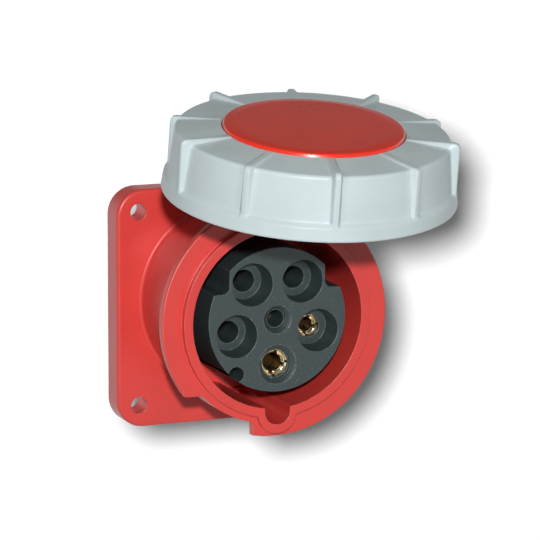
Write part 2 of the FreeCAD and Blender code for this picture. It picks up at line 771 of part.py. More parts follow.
def build_contact(contact):
    """Turned brass sleeve, slotted so that it grips a pin, with a wire terminal behind it."""
    body = new_body(f"contact_{contact.name}")
    mouth = chamber_top(contact) - s.sleeve_end_gap
    slot_end = mouth - (mouth - s.pin_bore_end) * s.sleeve_slot_share
    outer = sleeve_radius(contact)
    collar = contact_collar_radius(contact)
    lead = s.sleeve_wall / 2
    add_turned(body, "barrel", [
        (0.0, -s.terminal_length), (terminal_radius(contact), -s.terminal_length),
        (terminal_radius(contact), -s.contact_collar_length), (collar, -s.contact_collar_length),
        (collar, 0.0), (outer, 0.0), (outer, mouth), (contact.bore + lead, mouth),
        (contact.bore, mouth - lead), (contact.bore, s.pin_bore_end),
        (0.0, s.pin_bore_end - contact.bore)])
    wire = draw_circle(sketch_on(body, "wire_bore", "XY_Plane", -s.terminal_length), contact.wire_bore)
    add_feature(body, "Pocket", wire, Length=s.wire_bore_depth, Reversed=True)
    slit = s.sleeve_slot_width / 2
    for name, plane in (("slot_a", "XZ_Plane"), ("slot_b", "YZ_Plane")):
        slot = draw(sketch_on(body, name, plane),
                    (-slit, slot_end), (slit, slot_end),
                    (slit, mouth + s.cut_overrun), (-slit, mouth + s.cut_overrun))
        add_feature(body, "Pocket", slot, Length=outer * 3, Midplane=True)
    cut_radial_hole(body, "screw_hole", contact.screw + s.thread_play, as_size(0.0),
                    terminal_radius(contact) + s.cut_overrun, -s.clamp_screw_depth, contact.angle)
    x, y = polar(contact.pitch, contact.angle)
    place_in_barrel(body, x, y)


def build_spring(contact):
    """Open steel ring that squeezes the slotted end of a sleeve."""
    body = new_body(f"spring_{contact.name}")
    inner = sleeve_radius(contact) + s.spring_play
    top = chamber_top(contact) - s.sleeve_end_gap - s.spring_offset
    bottom = top - s.spring_length
    outer = inner + s.spring_thickness
    add_turned(body, "section", [(inner, bottom), (outer, bottom), (outer, top), (inner, top)],
               angle=335.0)
    x, y = polar(contact.pitch, contact.angle)
    place_in_barrel(body, x, y)


def make_screw(name, radius, length, head_radius, head_height):
    """Slotted screw along z: its shank goes up from the underside of the head at z = 0."""
    shank = bind(doc.addObject("Part::Cylinder", f"{name}_shank"), Radius=radius, Height=length)
    head = bind(doc.addObject("Part::Cylinder", f"{name}_head"), Radius=head_radius, Height=head_height)
    place(head, z=-head_height)
    slot = bind(doc.addObject("Part::Box", f"{name}_slot"), Length=head_radius * 3,
                Width=head_radius / 4, Height=head_height)
    place(slot, x=head_radius * -1.5, y=head_radius / -8, z=head_height * -1.5)
    blank = doc.addObject("Part::Fuse", f"{name}_blank")
    blank.Base = head
    blank.Tool = shank
    screw = doc.addObject("Part::Cut", name)
    screw.Base = blank
    screw.Tool = slot
    return screw


def make_group(label, members):
    """Join separate like pieces in one node."""
    group = doc.addObject("Part::Compound", label)
    group.Label = label
    group.Links = members
    nodes.append(group)
    return group


def build_fixing_screws():
    """Screws that clamp carrier and insert to the housing from behind."""
    members = []
    length = s.carrier_flange_thickness + seat_depth + s.fixing_screw_grip - s.screw_tip_gap
    for index in range(FIXING_COUNT):
        screw = make_screw(f"fixing_screw_{index + 1}", s.fixing_screw_radius, length,
                           s.fixing_head_radius, s.fixing_head_height)
        x, y = polar(s.fixing_pitch_radius, s.fixing_first_angle + 360.0 / FIXING_COUNT * index)
        place(screw, x, s.carrier_flange_thickness, s.axis_rise + y, turn=90.0)
        members.append(screw)
    make_group("fixing_screws", members)


def make_clamp_screw(contact):
    """Screw that clamps a wire in a terminal, along the contact's radius."""
    length = terminal_radius(contact) - contact.wire_bore - s.thread_play
    sunk = s.clamp_screw_recess
    screw = make_screw(f"clamp_screw_{contact.name}", contact.screw, length, contact.screw,
                       sunk)
    radius = contact.pitch + terminal_radius(contact)
    x, y = polar(radius, contact.angle)
    place(screw, x, s.clamp_screw_depth, s.axis_rise + y)
    inward = FreeCAD.Vector(-x.value, 0, -y.value)
    if inward.Length < TOLERANCE:
        inward = FreeCAD.Vector(0, 0, -1)
    screw.Placement = FreeCAD.Placement(
        screw.Placement.Base, FreeCAD.Rotation(FreeCAD.Vector(0, 0, 1), inward))
    return screw


def build_clamp_screws():
    """Clamp screws of the five power and earth terminals, and the smaller one of the pilot."""
    make_group("terminal_screws", [make_clamp_screw(contact) for contact in contacts[:-1]])
    screw = make_clamp_screw(contacts[-1])
    screw.Label = "pilot_terminal_screw"
    nodes.append(screw)


def build_hinge_pin():
    """Headed steel pin through the two ears and the lid's knuckle."""
    body = new_body("hinge_pin")
    end = ear_outside + s.hinge_pin_head / 2
    head = s.hinge_pin_radius * 1.5
    add_turned(body, "section", [
        (0.0, -end), (s.hinge_pin_radius, -end), (s.hinge_pin_radius, ear_outside),
        (head, ear_outside), (head, ear_outside + s.hinge_pin_head), (0.0, ear_outside + s.hinge_pin_head)])
    body.Placement = FreeCAD.Placement(
        FreeCAD.Vector(), FreeCAD.Rotation(FreeCAD.Vector(0, 1, 0), 90))
    body.setExpression("Placement.Base.y", (-s.hinge_depth).formula)
    body.setExpression("Placement.Base.z", (s.axis_rise + hinge_height).formula)


def add_ribs(body, name, angle, height, depth):
    """Add every second rib: over the ring's top and down its wall, as a bar with a round corner."""
    top = s.ring_height + height
    reach = ring_top_radius + depth
    corner_x = reach - s.rib_corner_radius
    corner_y = top - s.rib_corner_radius
    foot_x = ring_wall_radius - s.ring_wall / 2
    rim_edge = rim_radius - s.rim_draft
    under = ring_underside + s.running_gap
    rib = draw(
        sketch_on(body, name, "XZ_Plane", turn=angle),
        (s.rib_inner_radius, under), (s.rib_inner_radius, s.ring_height + s.ring_crown / 2),
        (corner_x, top), Arc((corner_x, corner_y), (reach, corner_y), -1),
        (rim_edge, s.shoulder_height), (rim_edge, s.rim_height),
        (foot_x, s.rim_height), (foot_x - s.ring_wall_draft, under))
    pad = add_feature(body, "Pad", rib, Length=s.rib_width, Midplane=True)
    repeat_round(body, pad, RIB_PAIRS)


def build_locking_ring():
    """Bayonet ring of the lid: flared rim, tapered wall, ribs outside and two lugs inside."""
    body = new_body("locking_ring")
    wall_inner = ring_wall_radius - s.ring_wall
    opening = s.cap_radius + s.running_gap
    add_turned(body, "shell", [
        (rim_bore_radius, 0.0), (rim_radius, 0.0), (rim_radius - s.rim_draft, s.rim_height),
        (ring_wall_radius, s.shoulder_height), (ring_top_radius, s.ring_height - s.ring_edge_radius),
        Arc((ring_top_radius - s.ring_edge_radius, s.ring_height - s.ring_edge_radius),
            (ring_top_radius - s.ring_edge_radius, s.ring_height), 1),
        (opening, ring_crown_height), (opening, ring_ledge_top), (s.ring_bearing_radius, ring_ledge_top),
        (s.ring_bearing_radius, ring_underside), (wall_inner - s.ring_wall_draft, ring_underside),
        (wall_inner, s.shoulder_height), (wall_inner, s.rim_bore_depth),
        (rim_bore_radius, s.rim_bore_depth)])
    add_ribs(body, "tall_rib", s.rib_first_angle, s.tall_rib_height, s.tall_rib_depth)
    add_ribs(body, "low_rib", s.rib_first_angle + 180.0 / RIB_PAIRS, s.low_rib_height, s.low_rib_depth)

    first = s.lug_angle - s.lug_width_angle / 2
    last = s.lug_angle + s.lug_width_angle / 2
    outer = ring_wall_radius - s.ring_wall / 2
    lug = draw(
        sketch_on(body, "lug", "XY_Plane", lug_bottom),
        polar(outer, first), Arc((0.0, 0.0), polar(outer, last), 1),
        polar(s.lug_radius, last), Arc((0.0, 0.0), polar(s.lug_radius, first), -1))
    pad = add_feature(body, "Pad", lug, Length=s.lug_thickness)
    repeat_round(body, pad, LUG_COUNT)
    place_in_lid(body)


def build_lid_cover():
    """Inner lid: plate with the seal's seat, boss for the cap, and the arm to the hinge."""
    body = new_body("lid_cover")
    seat = cover_face + s.seal_seat_depth
    boss = s.ring_bearing_radius - s.running_gap
    add_turned(body, "plate", [
        (0.0, cover_face), (s.seal_inner_radius - s.contact_fit, cover_face),
        (s.seal_inner_radius - s.contact_fit, seat), (seal_outer_radius + s.contact_fit, seat),
        (seal_outer_radius + s.contact_fit, cover_face), (cover_radius, cover_face),
        (cover_radius, cover_back), (boss, cover_back), (boss, cap_underside),
        (s.cover_boss_radius, cap_underside), (s.cover_boss_radius, cover_back), (0.0, cover_back)])
    inner = arm_inner_radius
    outer = arm_outer_radius
    arm = draw(sketch_on(body, "arm", "YZ_Plane"),
               (inner, 0.0), (outer, 0.0), (outer, cover_back), (inner, cover_back))
    add_feature(body, "Revolution", arm, ReferenceAxis=(arm, ["V_Axis"]), Angle=s.arm_angle,
                Midplane=True)
    tail = draw(
        sketch_on(body, "tail", "YZ_Plane"),
        (inner, s.arm_thickness), (inner, knuckle_level / 2),
        (hinge_height - s.knuckle_radius, knuckle_level), (hinge_height, knuckle_level),
        (hinge_height, knuckle_level + s.knuckle_radius), (outer, 0.0), (outer, s.arm_thickness))
    add_feature(body, "Pad", tail, Length=s.knuckle_width, Midplane=True)
    knuckle = draw_circle(sketch_on(body, "knuckle", "YZ_Plane"), s.knuckle_radius, hinge_height,
                          knuckle_level)
    add_feature(body, "Pad", knuckle, Length=s.knuckle_width, Midplane=True)
    hole = draw_circle(sketch_on(body, "knuckle_hole", "YZ_Plane"), s.hinge_pin_radius + s.hinge_fit,
                       hinge_height, knuckle_level)
    add_feature(body, "Pocket", hole, Length=s.knuckle_width * 2, Midplane=True)
    holes = sketch_on(body, "screw_holes", "XY_Plane", cover_face - s.cut_overrun)
    for index in range(LID_SCREW_COUNT):
        x, y = polar(s.lid_screw_pitch_radius, LID_SCREW_FIRST_ANGLE + 360.0 / LID_SCREW_COUNT * index)
        draw_circle(holes, s.lid_screw_radius + s.fixing_hole_play, x, y)
    add_feature(body, "Pocket", holes, Length=s.cover_thickness + s.cut_overrun * 2, Reversed=True)
    place_in_lid(body)


def build_lid_seal():
    """Rubber ring in the inner lid that presses on the mouth ring when the lid is shut."""
    body = new_body("lid_seal")
    back = seal_face + s.seal_thickness
    lean = s.seal_thickness / 4
    add_turned(body, "section", [
        (s.seal_inner_radius + lean, seal_face), (seal_outer_radius - lean, seal_face),
        (seal_outer_radius, seal_face + lean), (seal_outer_radius, back),
        (s.seal_inner_radius, back), (s.seal_inner_radius, seal_face + lean)])
    place_in_lid(body)


def build_lid_cap():
    """Red cap with a rounded lip and a slight crown, on three screw posts."""
    body = new_body("lid_cap")
    lip_x = s.cap_radius - s.cap_lip_radius
    lip_y = cap_underside + s.cap_edge_height
    edge_top = lip_y + s.cap_lip_radius
    crown_top = edge_top + s.cap_crown
    crown_value = (lip_x.value ** 2 + s.cap_crown.value ** 2) / (2 * s.cap_crown.value)
    crown_radius = Size(crown_value, f"(({lip_x.formula} ^ 2 + {s.cap_crown.formula} ^ 2)"
                                     f" / (2 * {s.cap_crown.formula}))")
    hollow = s.cover_boss_radius - s.running_gap
    ceiling = crown_top - s.cap_shell
    add_turned(body, "disc", [
        (s.cap_radius, cap_underside), (s.cap_radius, lip_y),
        Arc((lip_x, lip_y), (lip_x, edge_top), 1),
        Arc((0.0, crown_top - crown_radius), (0.0, crown_top), 1),
        (0.0, ceiling), (hollow, ceiling), (hollow, cap_underside)])
    posts = sketch_on(body, "posts", "XY_Plane", cover_back)
    pilots = sketch_on(body, "pilots", "XY_Plane", cover_back)
    for index in range(LID_SCREW_COUNT):
        x, y = polar(s.lid_screw_pitch_radius, LID_SCREW_FIRST_ANGLE + 360.0 / LID_SCREW_COUNT * index)
        draw_circle(posts, s.lid_post_radius, x, y)
        draw_circle(pilots, s.lid_screw_radius + s.thread_play, x, y)
    add_feature(body, "Pad", posts, Length=ceiling - cover_back + s.cap_shell / 2)
    add_feature(body, "Pocket", pilots, Length=ceiling - cover_back, Reversed=True)
    place_in_lid(body)


def build_ring_washer():
    """Slip washer between the inner lid and the locking ring."""
    body = new_body("ring_washer")
    inner = s.ring_bearing_radius
    outer = inner + s.washer_width
    top = cover_back + s.washer_thickness
    add_turned(body, "section", [(inner, cover_back), (outer, cover_back), (outer, top), (inner, top)])
    place_in_lid(body)


def build_lid_screws():
    """Screws that hold the cap to the inner lid, driven from inside."""
    members = []
    length = s.cover_thickness + s.lid_screw_radius * 2
    for index in range(LID_SCREW_COUNT):
        screw = make_screw(f"lid_screw_{index + 1}", s.lid_screw_radius, length,
                           s.lid_screw_head_radius, s.lid_screw_head_height)
        x, y = polar(s.lid_screw_pitch_radius, LID_SCREW_FIRST_ANGLE + 360.0 / LID_SCREW_COUNT * index)
        place(screw, x, y, cover_face)
        members.append(screw)
    place_in_lid(make_group("lid_screws", members))


build_flange()
build_housing()
build_flange_gasket()
build_contact_insert()
build_insert_gasket()
build_terminal_carrier()
for item in contacts:
    build_contact(item)
for item in contacts:
    build_spring(item)
build_clamp_screws()
build_fixing_screws()
build_hinge_pin()
build_locking_ring()
build_lid_cover()
build_lid_seal()
build_lid_cap()
build_ring_washer()
build_lid_screws()
doc.recompute()

for item in doc.Objects:
    if "Invalid" in item.State or "Error" in item.State:
        raise RuntimeError(f"{item.Label} failed: {item.State}")
for node in nodes:
    if node.Shape.isNull() or not node.Shape.isValid() or not node.Shape.Solids:
        raise RuntimeError(f"{node.Label} has no sound solid")

os.makedirs("parts", exist_ok=True)
for node in nodes:
    node.Shape.exportStep(os.path.join("parts", f"{node.Label}.step"))
    print(f"{node.Label}: {len(node.Shape.Solids)} solids, {node.Shape.Volume:.0f} mm3")
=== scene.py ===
import math

import bpy
import numpy as np
from mathutils import Matrix, Vector


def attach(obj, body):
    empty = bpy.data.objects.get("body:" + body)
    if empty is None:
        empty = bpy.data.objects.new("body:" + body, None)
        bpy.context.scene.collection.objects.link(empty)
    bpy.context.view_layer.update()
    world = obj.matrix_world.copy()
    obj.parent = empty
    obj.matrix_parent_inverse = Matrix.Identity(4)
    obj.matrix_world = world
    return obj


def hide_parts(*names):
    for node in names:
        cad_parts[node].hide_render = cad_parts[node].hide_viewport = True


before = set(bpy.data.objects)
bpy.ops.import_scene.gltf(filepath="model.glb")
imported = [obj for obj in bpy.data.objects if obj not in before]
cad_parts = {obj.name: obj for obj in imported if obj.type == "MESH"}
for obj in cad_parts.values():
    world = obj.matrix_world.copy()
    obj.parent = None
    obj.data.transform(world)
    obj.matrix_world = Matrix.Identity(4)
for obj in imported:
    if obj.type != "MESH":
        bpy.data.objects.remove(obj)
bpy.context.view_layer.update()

bl_info = {
    "name": "Panel Socket",
    "version": (1, 0, 0),
    "blender": (4, 5, 0),
    "location": "View3D > Sidebar > Socket",
    "description": "Moulded, turned and rubber finishes for a panel socket with a bayonet lid",
    "category": "Object",
}

# The panel is the plane Y = 0 and the socket faces -Y. Lengths are in metres, apart from the corners of
# outlines and the sizes that build them, which are in millimetres.
MM = 0.001

# The barrel: the rise of its axis over the origin, then depths from the panel to the front and a radius from
# the axis, in millimetres.
BARREL_RISE = 2.7 * MM
FLANGE_FACE = 12.0
INSERT_FACE = 64.7
NECK_RADIUS = 40.0

# The contacts: the radius of their circle, angles round it, then for each bright sleeve the radius of its
# bore and the depth of its mouth, and for each dished hole the radii of dish and hole.
CONTACTS = ("l1", "l2", "l3", "neutral", "earth", "pilot")
CONTACT_PITCH = 18.8
NEUTRAL_ANGLE = math.radians(342.0)
EARTH_ANGLE = math.radians(270.0)
NEUTRAL_SLEEVE = (4.05, 54.7)
EARTH_SLEEVE = (5.05, 62.2)
PILOT_DISH = (6.15, 3.8)
EARTH_DISH = (8.35, 5.9)

# The open lid: its hinge as (Y, Z), its turn from the shut place, and the way from the hinge to the centre
# of the ring's mouth.
HINGE = (-39.5 * MM, 60.1 * MM)
LID_TURN = math.radians(80.4)
LID_REACH = 57.4 * MM
LID_RISE = 10.0 * MM

# The locking ring in millimetres: radii from its axis, and heights over its mouth. The wall between two ribs
# is given by the radius and height of its foot and its top.
WALL_FOOT = (56.8, 7.2)
WALL_TOP = (54.87, 25.3)
MOUTH_RADIUS = 56.4
SKIRT_RADIUS = 59.3
EYE_RADIUS = 36.7
EYE_HEIGHT = 27.1
LEDGE_RADIUS = 34.0
LEDGE_HEIGHT = 24.6
HOLLOW_RADIUS = 54.3
RIB_COUNT = 10
LUG_MIDDLES = (math.radians(60.0), math.radians(240.0))
LUG_HALF_SWEEP = math.radians(10.0)

# Lamps other than the key. The backdrop's lamp stands a little behind the camera, turned aside and raised by
# two angles.
REAR_FILL = {"distance": 2.0, "level": 0.5, "size": 1.2}
FLOOR_LAMP = {"distance": 2.5, "level": 1.2, "size": 0.8}
BACKDROP_LAMP = {"level": 2.45, "size": 0.042}
BACKDROP_LAMP_SHIFT = (math.radians(-0.78), math.radians(0.6))
BACKDROP_LAMP_BEHIND = 0.03
FLOOR_LAMP_AIM = -0.06
FLOOR_LAMP_RISE = math.radians(80.0)

# Camera, floor, backdrop and room. In a mirror, the room's white turns to the ceiling's colour while the
# upward part of a ray of unit length goes from the first to the second of two values.
SENSOR_WIDTH = 36.0
CLIP_START = 0.05
CLIP_END = 20.0
FLOOR_HALF_SIDE = 1.6
BACKDROP_HALF_WIDTH = 0.9
BACKDROP_HEIGHT = 1.2
WHITE = (1.0, 1.0, 1.0, 1.0)
PAPER_WHITE = (0.9, 0.9, 0.9, 1.0)
AMBIENT_TINT = (0.97, 1.0, 0.98, 1.0)
CEILING_RISE = (0.12, 0.40)

# Relief of the insert's moulded ridges, in depths of its grain.
RIDGE_DEPTH = 12.0

# Distance in millimetres from each end of an outline's straight side to an extra point. On a short side it is
# a quarter of the length.
SIDE_INSET = 0.35


# Settings that a user would change


def colour(name, description, default):
    """A colour setting."""
    return bpy.props.FloatVectorProperty(
        name=name, description=description, default=default, size=3, min=0.0, max=1.0, subtype="COLOR")


def share(name, description, default):
    """A setting from 0 to 1."""
    return bpy.props.FloatProperty(
        name=name, description=description, default=default, min=0.0, max=1.0, subtype="FACTOR")


def length(name, description, default):
    """A length setting, in metres."""
    return bpy.props.FloatProperty(
        name=name, description=description, default=default, unit="LENGTH", precision=5)


def turn(name, description, degrees):
    """An angle setting, given in degrees."""
    return bpy.props.FloatProperty(
        name=name, description=description, default=math.radians(degrees), subtype="ANGLE", unit="ROTATION")


class SocketFinish(bpy.types.PropertyGroup):
    """Colours and gloss of the socket's materials."""
    housing_red: colour("Housing red", "Colour of the flange, barrel and collar", (0.69, 0.052, 0.043))
    housing_roughness: share("Housing roughness", "Roughness of the red moulding", 0.34)
    cap_red: colour("Cap red", "Colour of the disc in the lid", (0.84, 0.034, 0.015))
    cap_roughness: share("Cap roughness", "Roughness of the disc", 0.29)
    ring_grey: colour("Ring grey", "Colour of the lid's locking ring", (0.57, 0.655, 0.67))
    ring_roughness: share("Ring roughness", "Roughness of the locking ring", 0.36)
    insert_grey: colour("Insert grey", "Colour of the contact insert", (0.024, 0.041, 0.042))
    insert_roughness: share("Insert roughness", "Roughness of the contact insert", 0.48)
    carrier_black: colour("Carrier black", "Colour of the terminal carrier", (0.02, 0.022, 0.024))
    carrier_roughness: share("Carrier roughness", "Roughness of the terminal carrier", 0.5)
    cover_grey: colour("Cover grey", "Colour of the inner lid", (0.30, 0.34, 0.34))
    cover_roughness: share("Cover roughness", "Roughness of the inner lid", 0.42)
    washer_white: colour("Washer white", "Colour of the slip washer", (0.7, 0.7, 0.66))
    washer_roughness: share("Washer roughness", "Roughness of the slip washer", 0.45)
    rubber_black: colour("Rubber black", "Colour of the gaskets and the seal", (0.018, 0.018, 0.019))
    brass: colour("Brass", "Colour of the turned contacts", (0.91, 0.76, 0.52))
    steel: colour("Steel", "Colour of screws and springs", (0.58, 0.58, 0.57))


class SocketForm(bpy.types.PropertyGroup):
    """Sizes of the forms that the scene adds to the solids."""
    rib_turn: turn("Rib turn", "Place of the first low rib round the ring", 5.2)
    rib_crest: length("Rib crest", "Half the width of a rib's crest", 0.9 * MM)
    rib_foot: length("Rib foot", "Half the width of a rib's foot", 2.3 * MM)
    low_rib_radius: length("Low rib radius", "Reach of the low ribs from the ring's axis", 57.6 * MM)
    low_rib_height: length("Low rib height", "Top of the low ribs over the ring's mouth", 26.1 * MM)
    tall_rib_radius: length("Tall rib radius", "Reach of the tall ribs from the ring's axis", 58.5 * MM)
    tall_rib_height: length("Tall rib height", "Top of the tall ribs over the ring's mouth", 27.6 * MM)
    cap_radius: length("Cap radius", "Radius of the disc in the lid", 36.5 * MM)
    cap_lip: length("Cap lip", "Top of the disc's bevel over the ring's mouth", 28.3 * MM)
    slit_width: length("Slit width", "Width of the slits between a sleeve's petals", 1.3 * MM)
    slit_turn: turn("Slit turn", "Place of a sleeve's first slit", -14.0)
    petal_grip: length("Petal grip", "How far the petals stand inside the bore", 1.3 * MM)
    dish_depth: length("Dish depth", "Depth of the dishes round the pilot and earth holes", 2.5 * MM)
    fillet_radius: length("Fillet radius", "Fillet between the neck and the flange", 1.0 * MM)


class SocketStage(bpy.types.PropertyGroup):
    """Camera, lamps and backdrop."""
    aim_depth: length("Aim depth", "Depth of the aim point in front of the panel, before the shifts", 0.0367)
    aim_right: length("Aim right", "Shift of the aim point to the right in the picture", 0.00744)
    aim_up: length("Aim up", "Shift of the aim point upwards in the picture", 0.01801)
    camera_azimuth: turn("Camera azimuth", "Turn of the camera round the object", -22.01)
    camera_elevation: turn("Camera elevation", "Height of the camera above the horizon", 10.9)
    camera_roll: turn("Camera roll", "Roll of the camera about its own axis", 0.18)
    camera_distance: length("Camera distance", "Distance from the camera to the aim point", 1.470)
    lens: bpy.props.FloatProperty(name="Lens", description="Focal length in millimetres",
                                  default=235.0, min=10.0)
    key_azimuth: turn("Key azimuth", "Turn of the key lamp round the object", -21.5)
    key_elevation: turn("Key elevation", "Height of the key lamp above the horizon", 15.8)
    key_level: bpy.props.FloatProperty(name="Key level", default=0.87, min=0.0,
                                       description="Light on a surface that faces the lamp")
    key_distance: length("Key distance", "Distance from the key lamp to the aim point", 1.7)
    key_size: length("Key size", "Diameter of the key lamp", 0.07)
    ambient: bpy.props.FloatProperty(name="Ambient", description="Even light from all round",
                                     default=0.17, min=0.0)
    ceiling: colour("Ceiling", "Colour that glossy faces mirror from above", (0.05, 0.085, 0.07))
    floor_height: length("Floor height", "Height of the floor under the panel axis", -0.33)
    backdrop_gap: length("Backdrop gap", "Distance from the origin back to the backdrop", 0.80)


# Node tools and shared effects


class Graph:
    """A node tree with short calls to add nodes and join them."""

    def __init__(self, tree):
        self.tree = tree

    def add(self, kind, settings=None, **inputs):
        """Add a node, set its properties, and set or join its inputs. Names use _ for a space."""
        node = self.tree.nodes.new(kind)
        for name, value in (settings or {}).items():
            setattr(node, name, value)
        for name, value in inputs.items():
            self.feed(node.inputs[name.replace("_", " ")], value)
        return node

    def feed(self, socket, value):
        """Join a socket to an input, or set the input's own value."""
        if isinstance(value, bpy.types.NodeSocket):
            self.tree.links.new(value, socket)
        else:
            socket.default_value = value

    def sum(self, operation, *values):
        """One step of arithmetic."""
        node = self.tree.nodes.new("ShaderNodeMath")
        node.operation = operation
        for socket, value in zip(node.inputs, values):
            self.feed(socket, value)
        return node.outputs[0]

    def spread(self, value, low, high, to_low=0.0, to_high=1.0):
        """Move a value from one range to another, held within it."""
        node = self.add("ShaderNodeMapRange", Value=value)
        for name, amount in (("From Min", low), ("From Max", high), ("To Min", to_low), ("To Max", to_high)):
            node.inputs[name].default_value = amount
        return node.outputs["Result"]

    def blend(self, factor, first, second, mode="MIX"):
        """Blend two colours."""
        node = self.add("ShaderNodeMix", {"data_type": "RGBA", "blend_type": mode})
        self.feed(node.inputs[0], factor)
        self.feed(node.inputs[6], first)
        self.feed(node.inputs[7], second)
        return node.outputs[2]


def new_group(name, inputs, outputs):
    """Start a shader node group with named value inputs and named outputs."""
    tree = bpy.data.node_groups.new(name, "ShaderNodeTree")
    for label, default in inputs.items():
        socket = tree.interface.new_socket(label, in_out="INPUT", socket_type="NodeSocketFloat")
        socket.default_value = default
    for label, kind in outputs.items():
        tree.interface.new_socket(label, in_out="OUTPUT", socket_type=kind)
    graph = Graph(tree)
    return graph, graph.add("NodeGroupInput").outputs, graph.add("NodeGroupOutput").inputs


def make_grain():
    """Fine texture of a moulded skin: even grain for the bump, a slow mottle for tone and gloss."""
    graph, given, out = new_group("moulded grain", {"Scale": 2600.0, "Mottle Scale": 45.0}, {
        "Height": "NodeSocketFloat", "Mottle": "NodeSocketFloat"})
    place = graph.add("ShaderNodeTexCoord").outputs["Object"]
    fine = graph.add("ShaderNodeTexNoise", Vector=place, Scale=given["Scale"], Detail=3.0, Roughness=0.55)
    slow = graph.add("ShaderNodeTexNoise", Vector=place, Scale=given["Mottle Scale"], Detail=4.0)
    graph.feed(out["Height"], fine.outputs["Fac"])
    graph.feed(out["Mottle"], graph.spread(slow.outputs["Fac"], 0.3, 0.7))


def make_edges():
    """Rounded normal at sharp edges, and a mask of the edges themselves, broken up by noise."""
    graph, given, out = new_group("rounded edges", {"Radius": 0.0005, "Noise Scale": 900.0}, {
        "Normal": "NodeSocketVector", "Edge": "NodeSocketFloat"})
    soft = graph.add("ShaderNodeBevel", {"samples": 6}, Radius=given["Radius"])
    plain = graph.add("ShaderNodeNewGeometry").outputs["Normal"]
    match = graph.add("ShaderNodeVectorMath", {"operation": "DOT_PRODUCT"})
    graph.feed(match.inputs[0], soft.outputs["Normal"])
    graph.feed(match.inputs[1], plain)
    place = graph.add("ShaderNodeTexCoord").outputs["Object"]
    breaks = graph.add("ShaderNodeTexNoise", Vector=place, Scale=given["Noise Scale"], Detail=2.0)
    edge = graph.spread(match.outputs["Value"], 0.99, 0.80)
    graph.feed(out["Normal"], soft.outputs["Normal"])
    graph.feed(out["Edge"], graph.sum("MULTIPLY", edge, graph.spread(breaks.outputs["Fac"], 0.35, 0.6)))


def make_specks():
    """Sparse pale specks, as fine dust and fibres leave on a dark moulding."""
    graph, given, out = new_group("pale specks", {"Scale": 1000.0, "Amount": 0.5}, {
        "Mask": "NodeSocketFloat"})
    place = graph.add("ShaderNodeTexCoord").outputs["Object"]
    cells = graph.add("ShaderNodeTexVoronoi", Vector=place, Scale=given["Scale"], Randomness=1.0)
    spots = graph.spread(cells.outputs["Distance"], 0.24, 0.08)
    thin = graph.add("ShaderNodeTexNoise", Vector=place, Scale=260.0, Detail=2.0)
    chosen = graph.spread(thin.outputs["Fac"], 0.46, 0.62)
    graph.feed(out["Mask"], graph.sum("MULTIPLY", graph.sum("MULTIPLY", spots, chosen), given["Amount"]))


def make_turning():
    """Close rings left by a tool, across an axis that is set by three weights."""
    graph, given, out = new_group("turning rings", {"Pitch": 0.0004, "Along X": 0.0, "Along Y": 1.0,
                                                    "Along Z": 0.0}, {"Height": "NodeSocketFloat"})
    place = graph.add("ShaderNodeSeparateXYZ", Vector=graph.add("ShaderNodeTexCoord").outputs["Object"])
    along = graph.sum("MULTIPLY", place.outputs["X"], given["Along X"])
    for letter in "YZ":
        step = graph.sum("MULTIPLY", place.outputs[letter], given[f"Along {letter}"])
        along = graph.sum("ADD", along, step)
    phase = graph.sum("MULTIPLY", graph.sum("DIVIDE", along, given["Pitch"]), 2 * math.pi)
    graph.feed(out["Height"], graph.sum("MULTIPLY_ADD", graph.sum("SINE", phase), 0.5, 0.5))


def place_group(graph, name, **inputs):
    """Put a shared effect into a material with its own values."""
    node = graph.tree.nodes.new("ShaderNodeGroup")
    node.node_tree = bpy.data.node_groups[name]
    for label, value in inputs.items():
        graph.feed(node.inputs[label.replace("_", " ")], value)
    return node.outputs


def new_material(name, settings):
    """Start a material with a Principled shader whose plain values are set on its own sockets."""
    material = bpy.data.materials.new(name)
    material.use_nodes = True
    graph = Graph(material.node_tree)
    material.node_tree.nodes.clear()
    shader = graph.add("ShaderNodeBsdfPrincipled")
    for label, value in settings.items():
        shader.inputs[label].default_value = value
    output = graph.add("ShaderNodeOutputMaterial")
    graph.feed(output.inputs["Surface"], shader.outputs["BSDF"])
    return material, graph, shader.inputs


def rgba(shade, strength=1.0):
    """Four-part colour, lightened or darkened."""
    return tuple(min(1.0, part * strength) for part in shade) + (1.0,)


def lighten(shade, amount):
    """Four-part colour moved towards white."""
    return tuple(part + (1.0 - part) * amount for part in shade) + (1.0,)


def make_moulded(name, shade, roughness, depth=0.000004, edge_radius=0.0004, speck=0.0, edge_wear_and_highlight=0.10,
                 ridges=0.0, coat=0.0, shine=0.5):
    """Moulded plastic: slow change of tone and gloss, fine grain, softened and slightly paler edges.

    Depth is the grain's relief. Ridges, where given, is the pitch of fine ridges across the barrel's axis.
    The paler edges are partly wear and partly a painted highlight of light on the rounded edges.
    """
    material, graph, shader = new_material(name, {"IOR": 1.5, "Coat Weight": coat, "Coat Roughness": 0.25,
                                                   "Specular IOR Level": shine})
    skin = place_group(graph, "moulded grain")
    edges = place_group(graph, "rounded edges", Radius=edge_radius)
    base = graph.blend(skin["Mottle"], rgba(shade, 0.95), rgba(shade, 1.05))
    # Paler edges: partly wear, partly a painted highlight that stands in for light glinting on rounded edges.
    base = graph.blend(graph.sum("MULTIPLY", edges["Edge"], edge_wear_and_highlight), base, lighten(shade, 0.5))
    if speck:
        mask = place_group(graph, "pale specks", Amount=speck)["Mask"]
        base = graph.blend(mask, base, lighten(shade, 0.35))
    graph.feed(shader["Base Color"], base)
    gloss = graph.spread(skin["Mottle"], 0.0, 1.0, roughness - 0.03, roughness + 0.04)
    graph.feed(shader["Roughness"], gloss)
    height = skin["Height"]
    if ridges:
        rings = place_group(graph, "turning rings", Pitch=ridges)
        height = graph.sum("ADD", height, graph.sum("MULTIPLY", rings["Height"], RIDGE_DEPTH))
    bump = graph.add("ShaderNodeBump", Strength=1.0, Distance=depth, Height=height, Normal=edges["Normal"])
    graph.feed(shader["Normal"], bump.outputs["Normal"])
    graph.feed(shader["Coat Normal"], edges["Normal"])
    return material


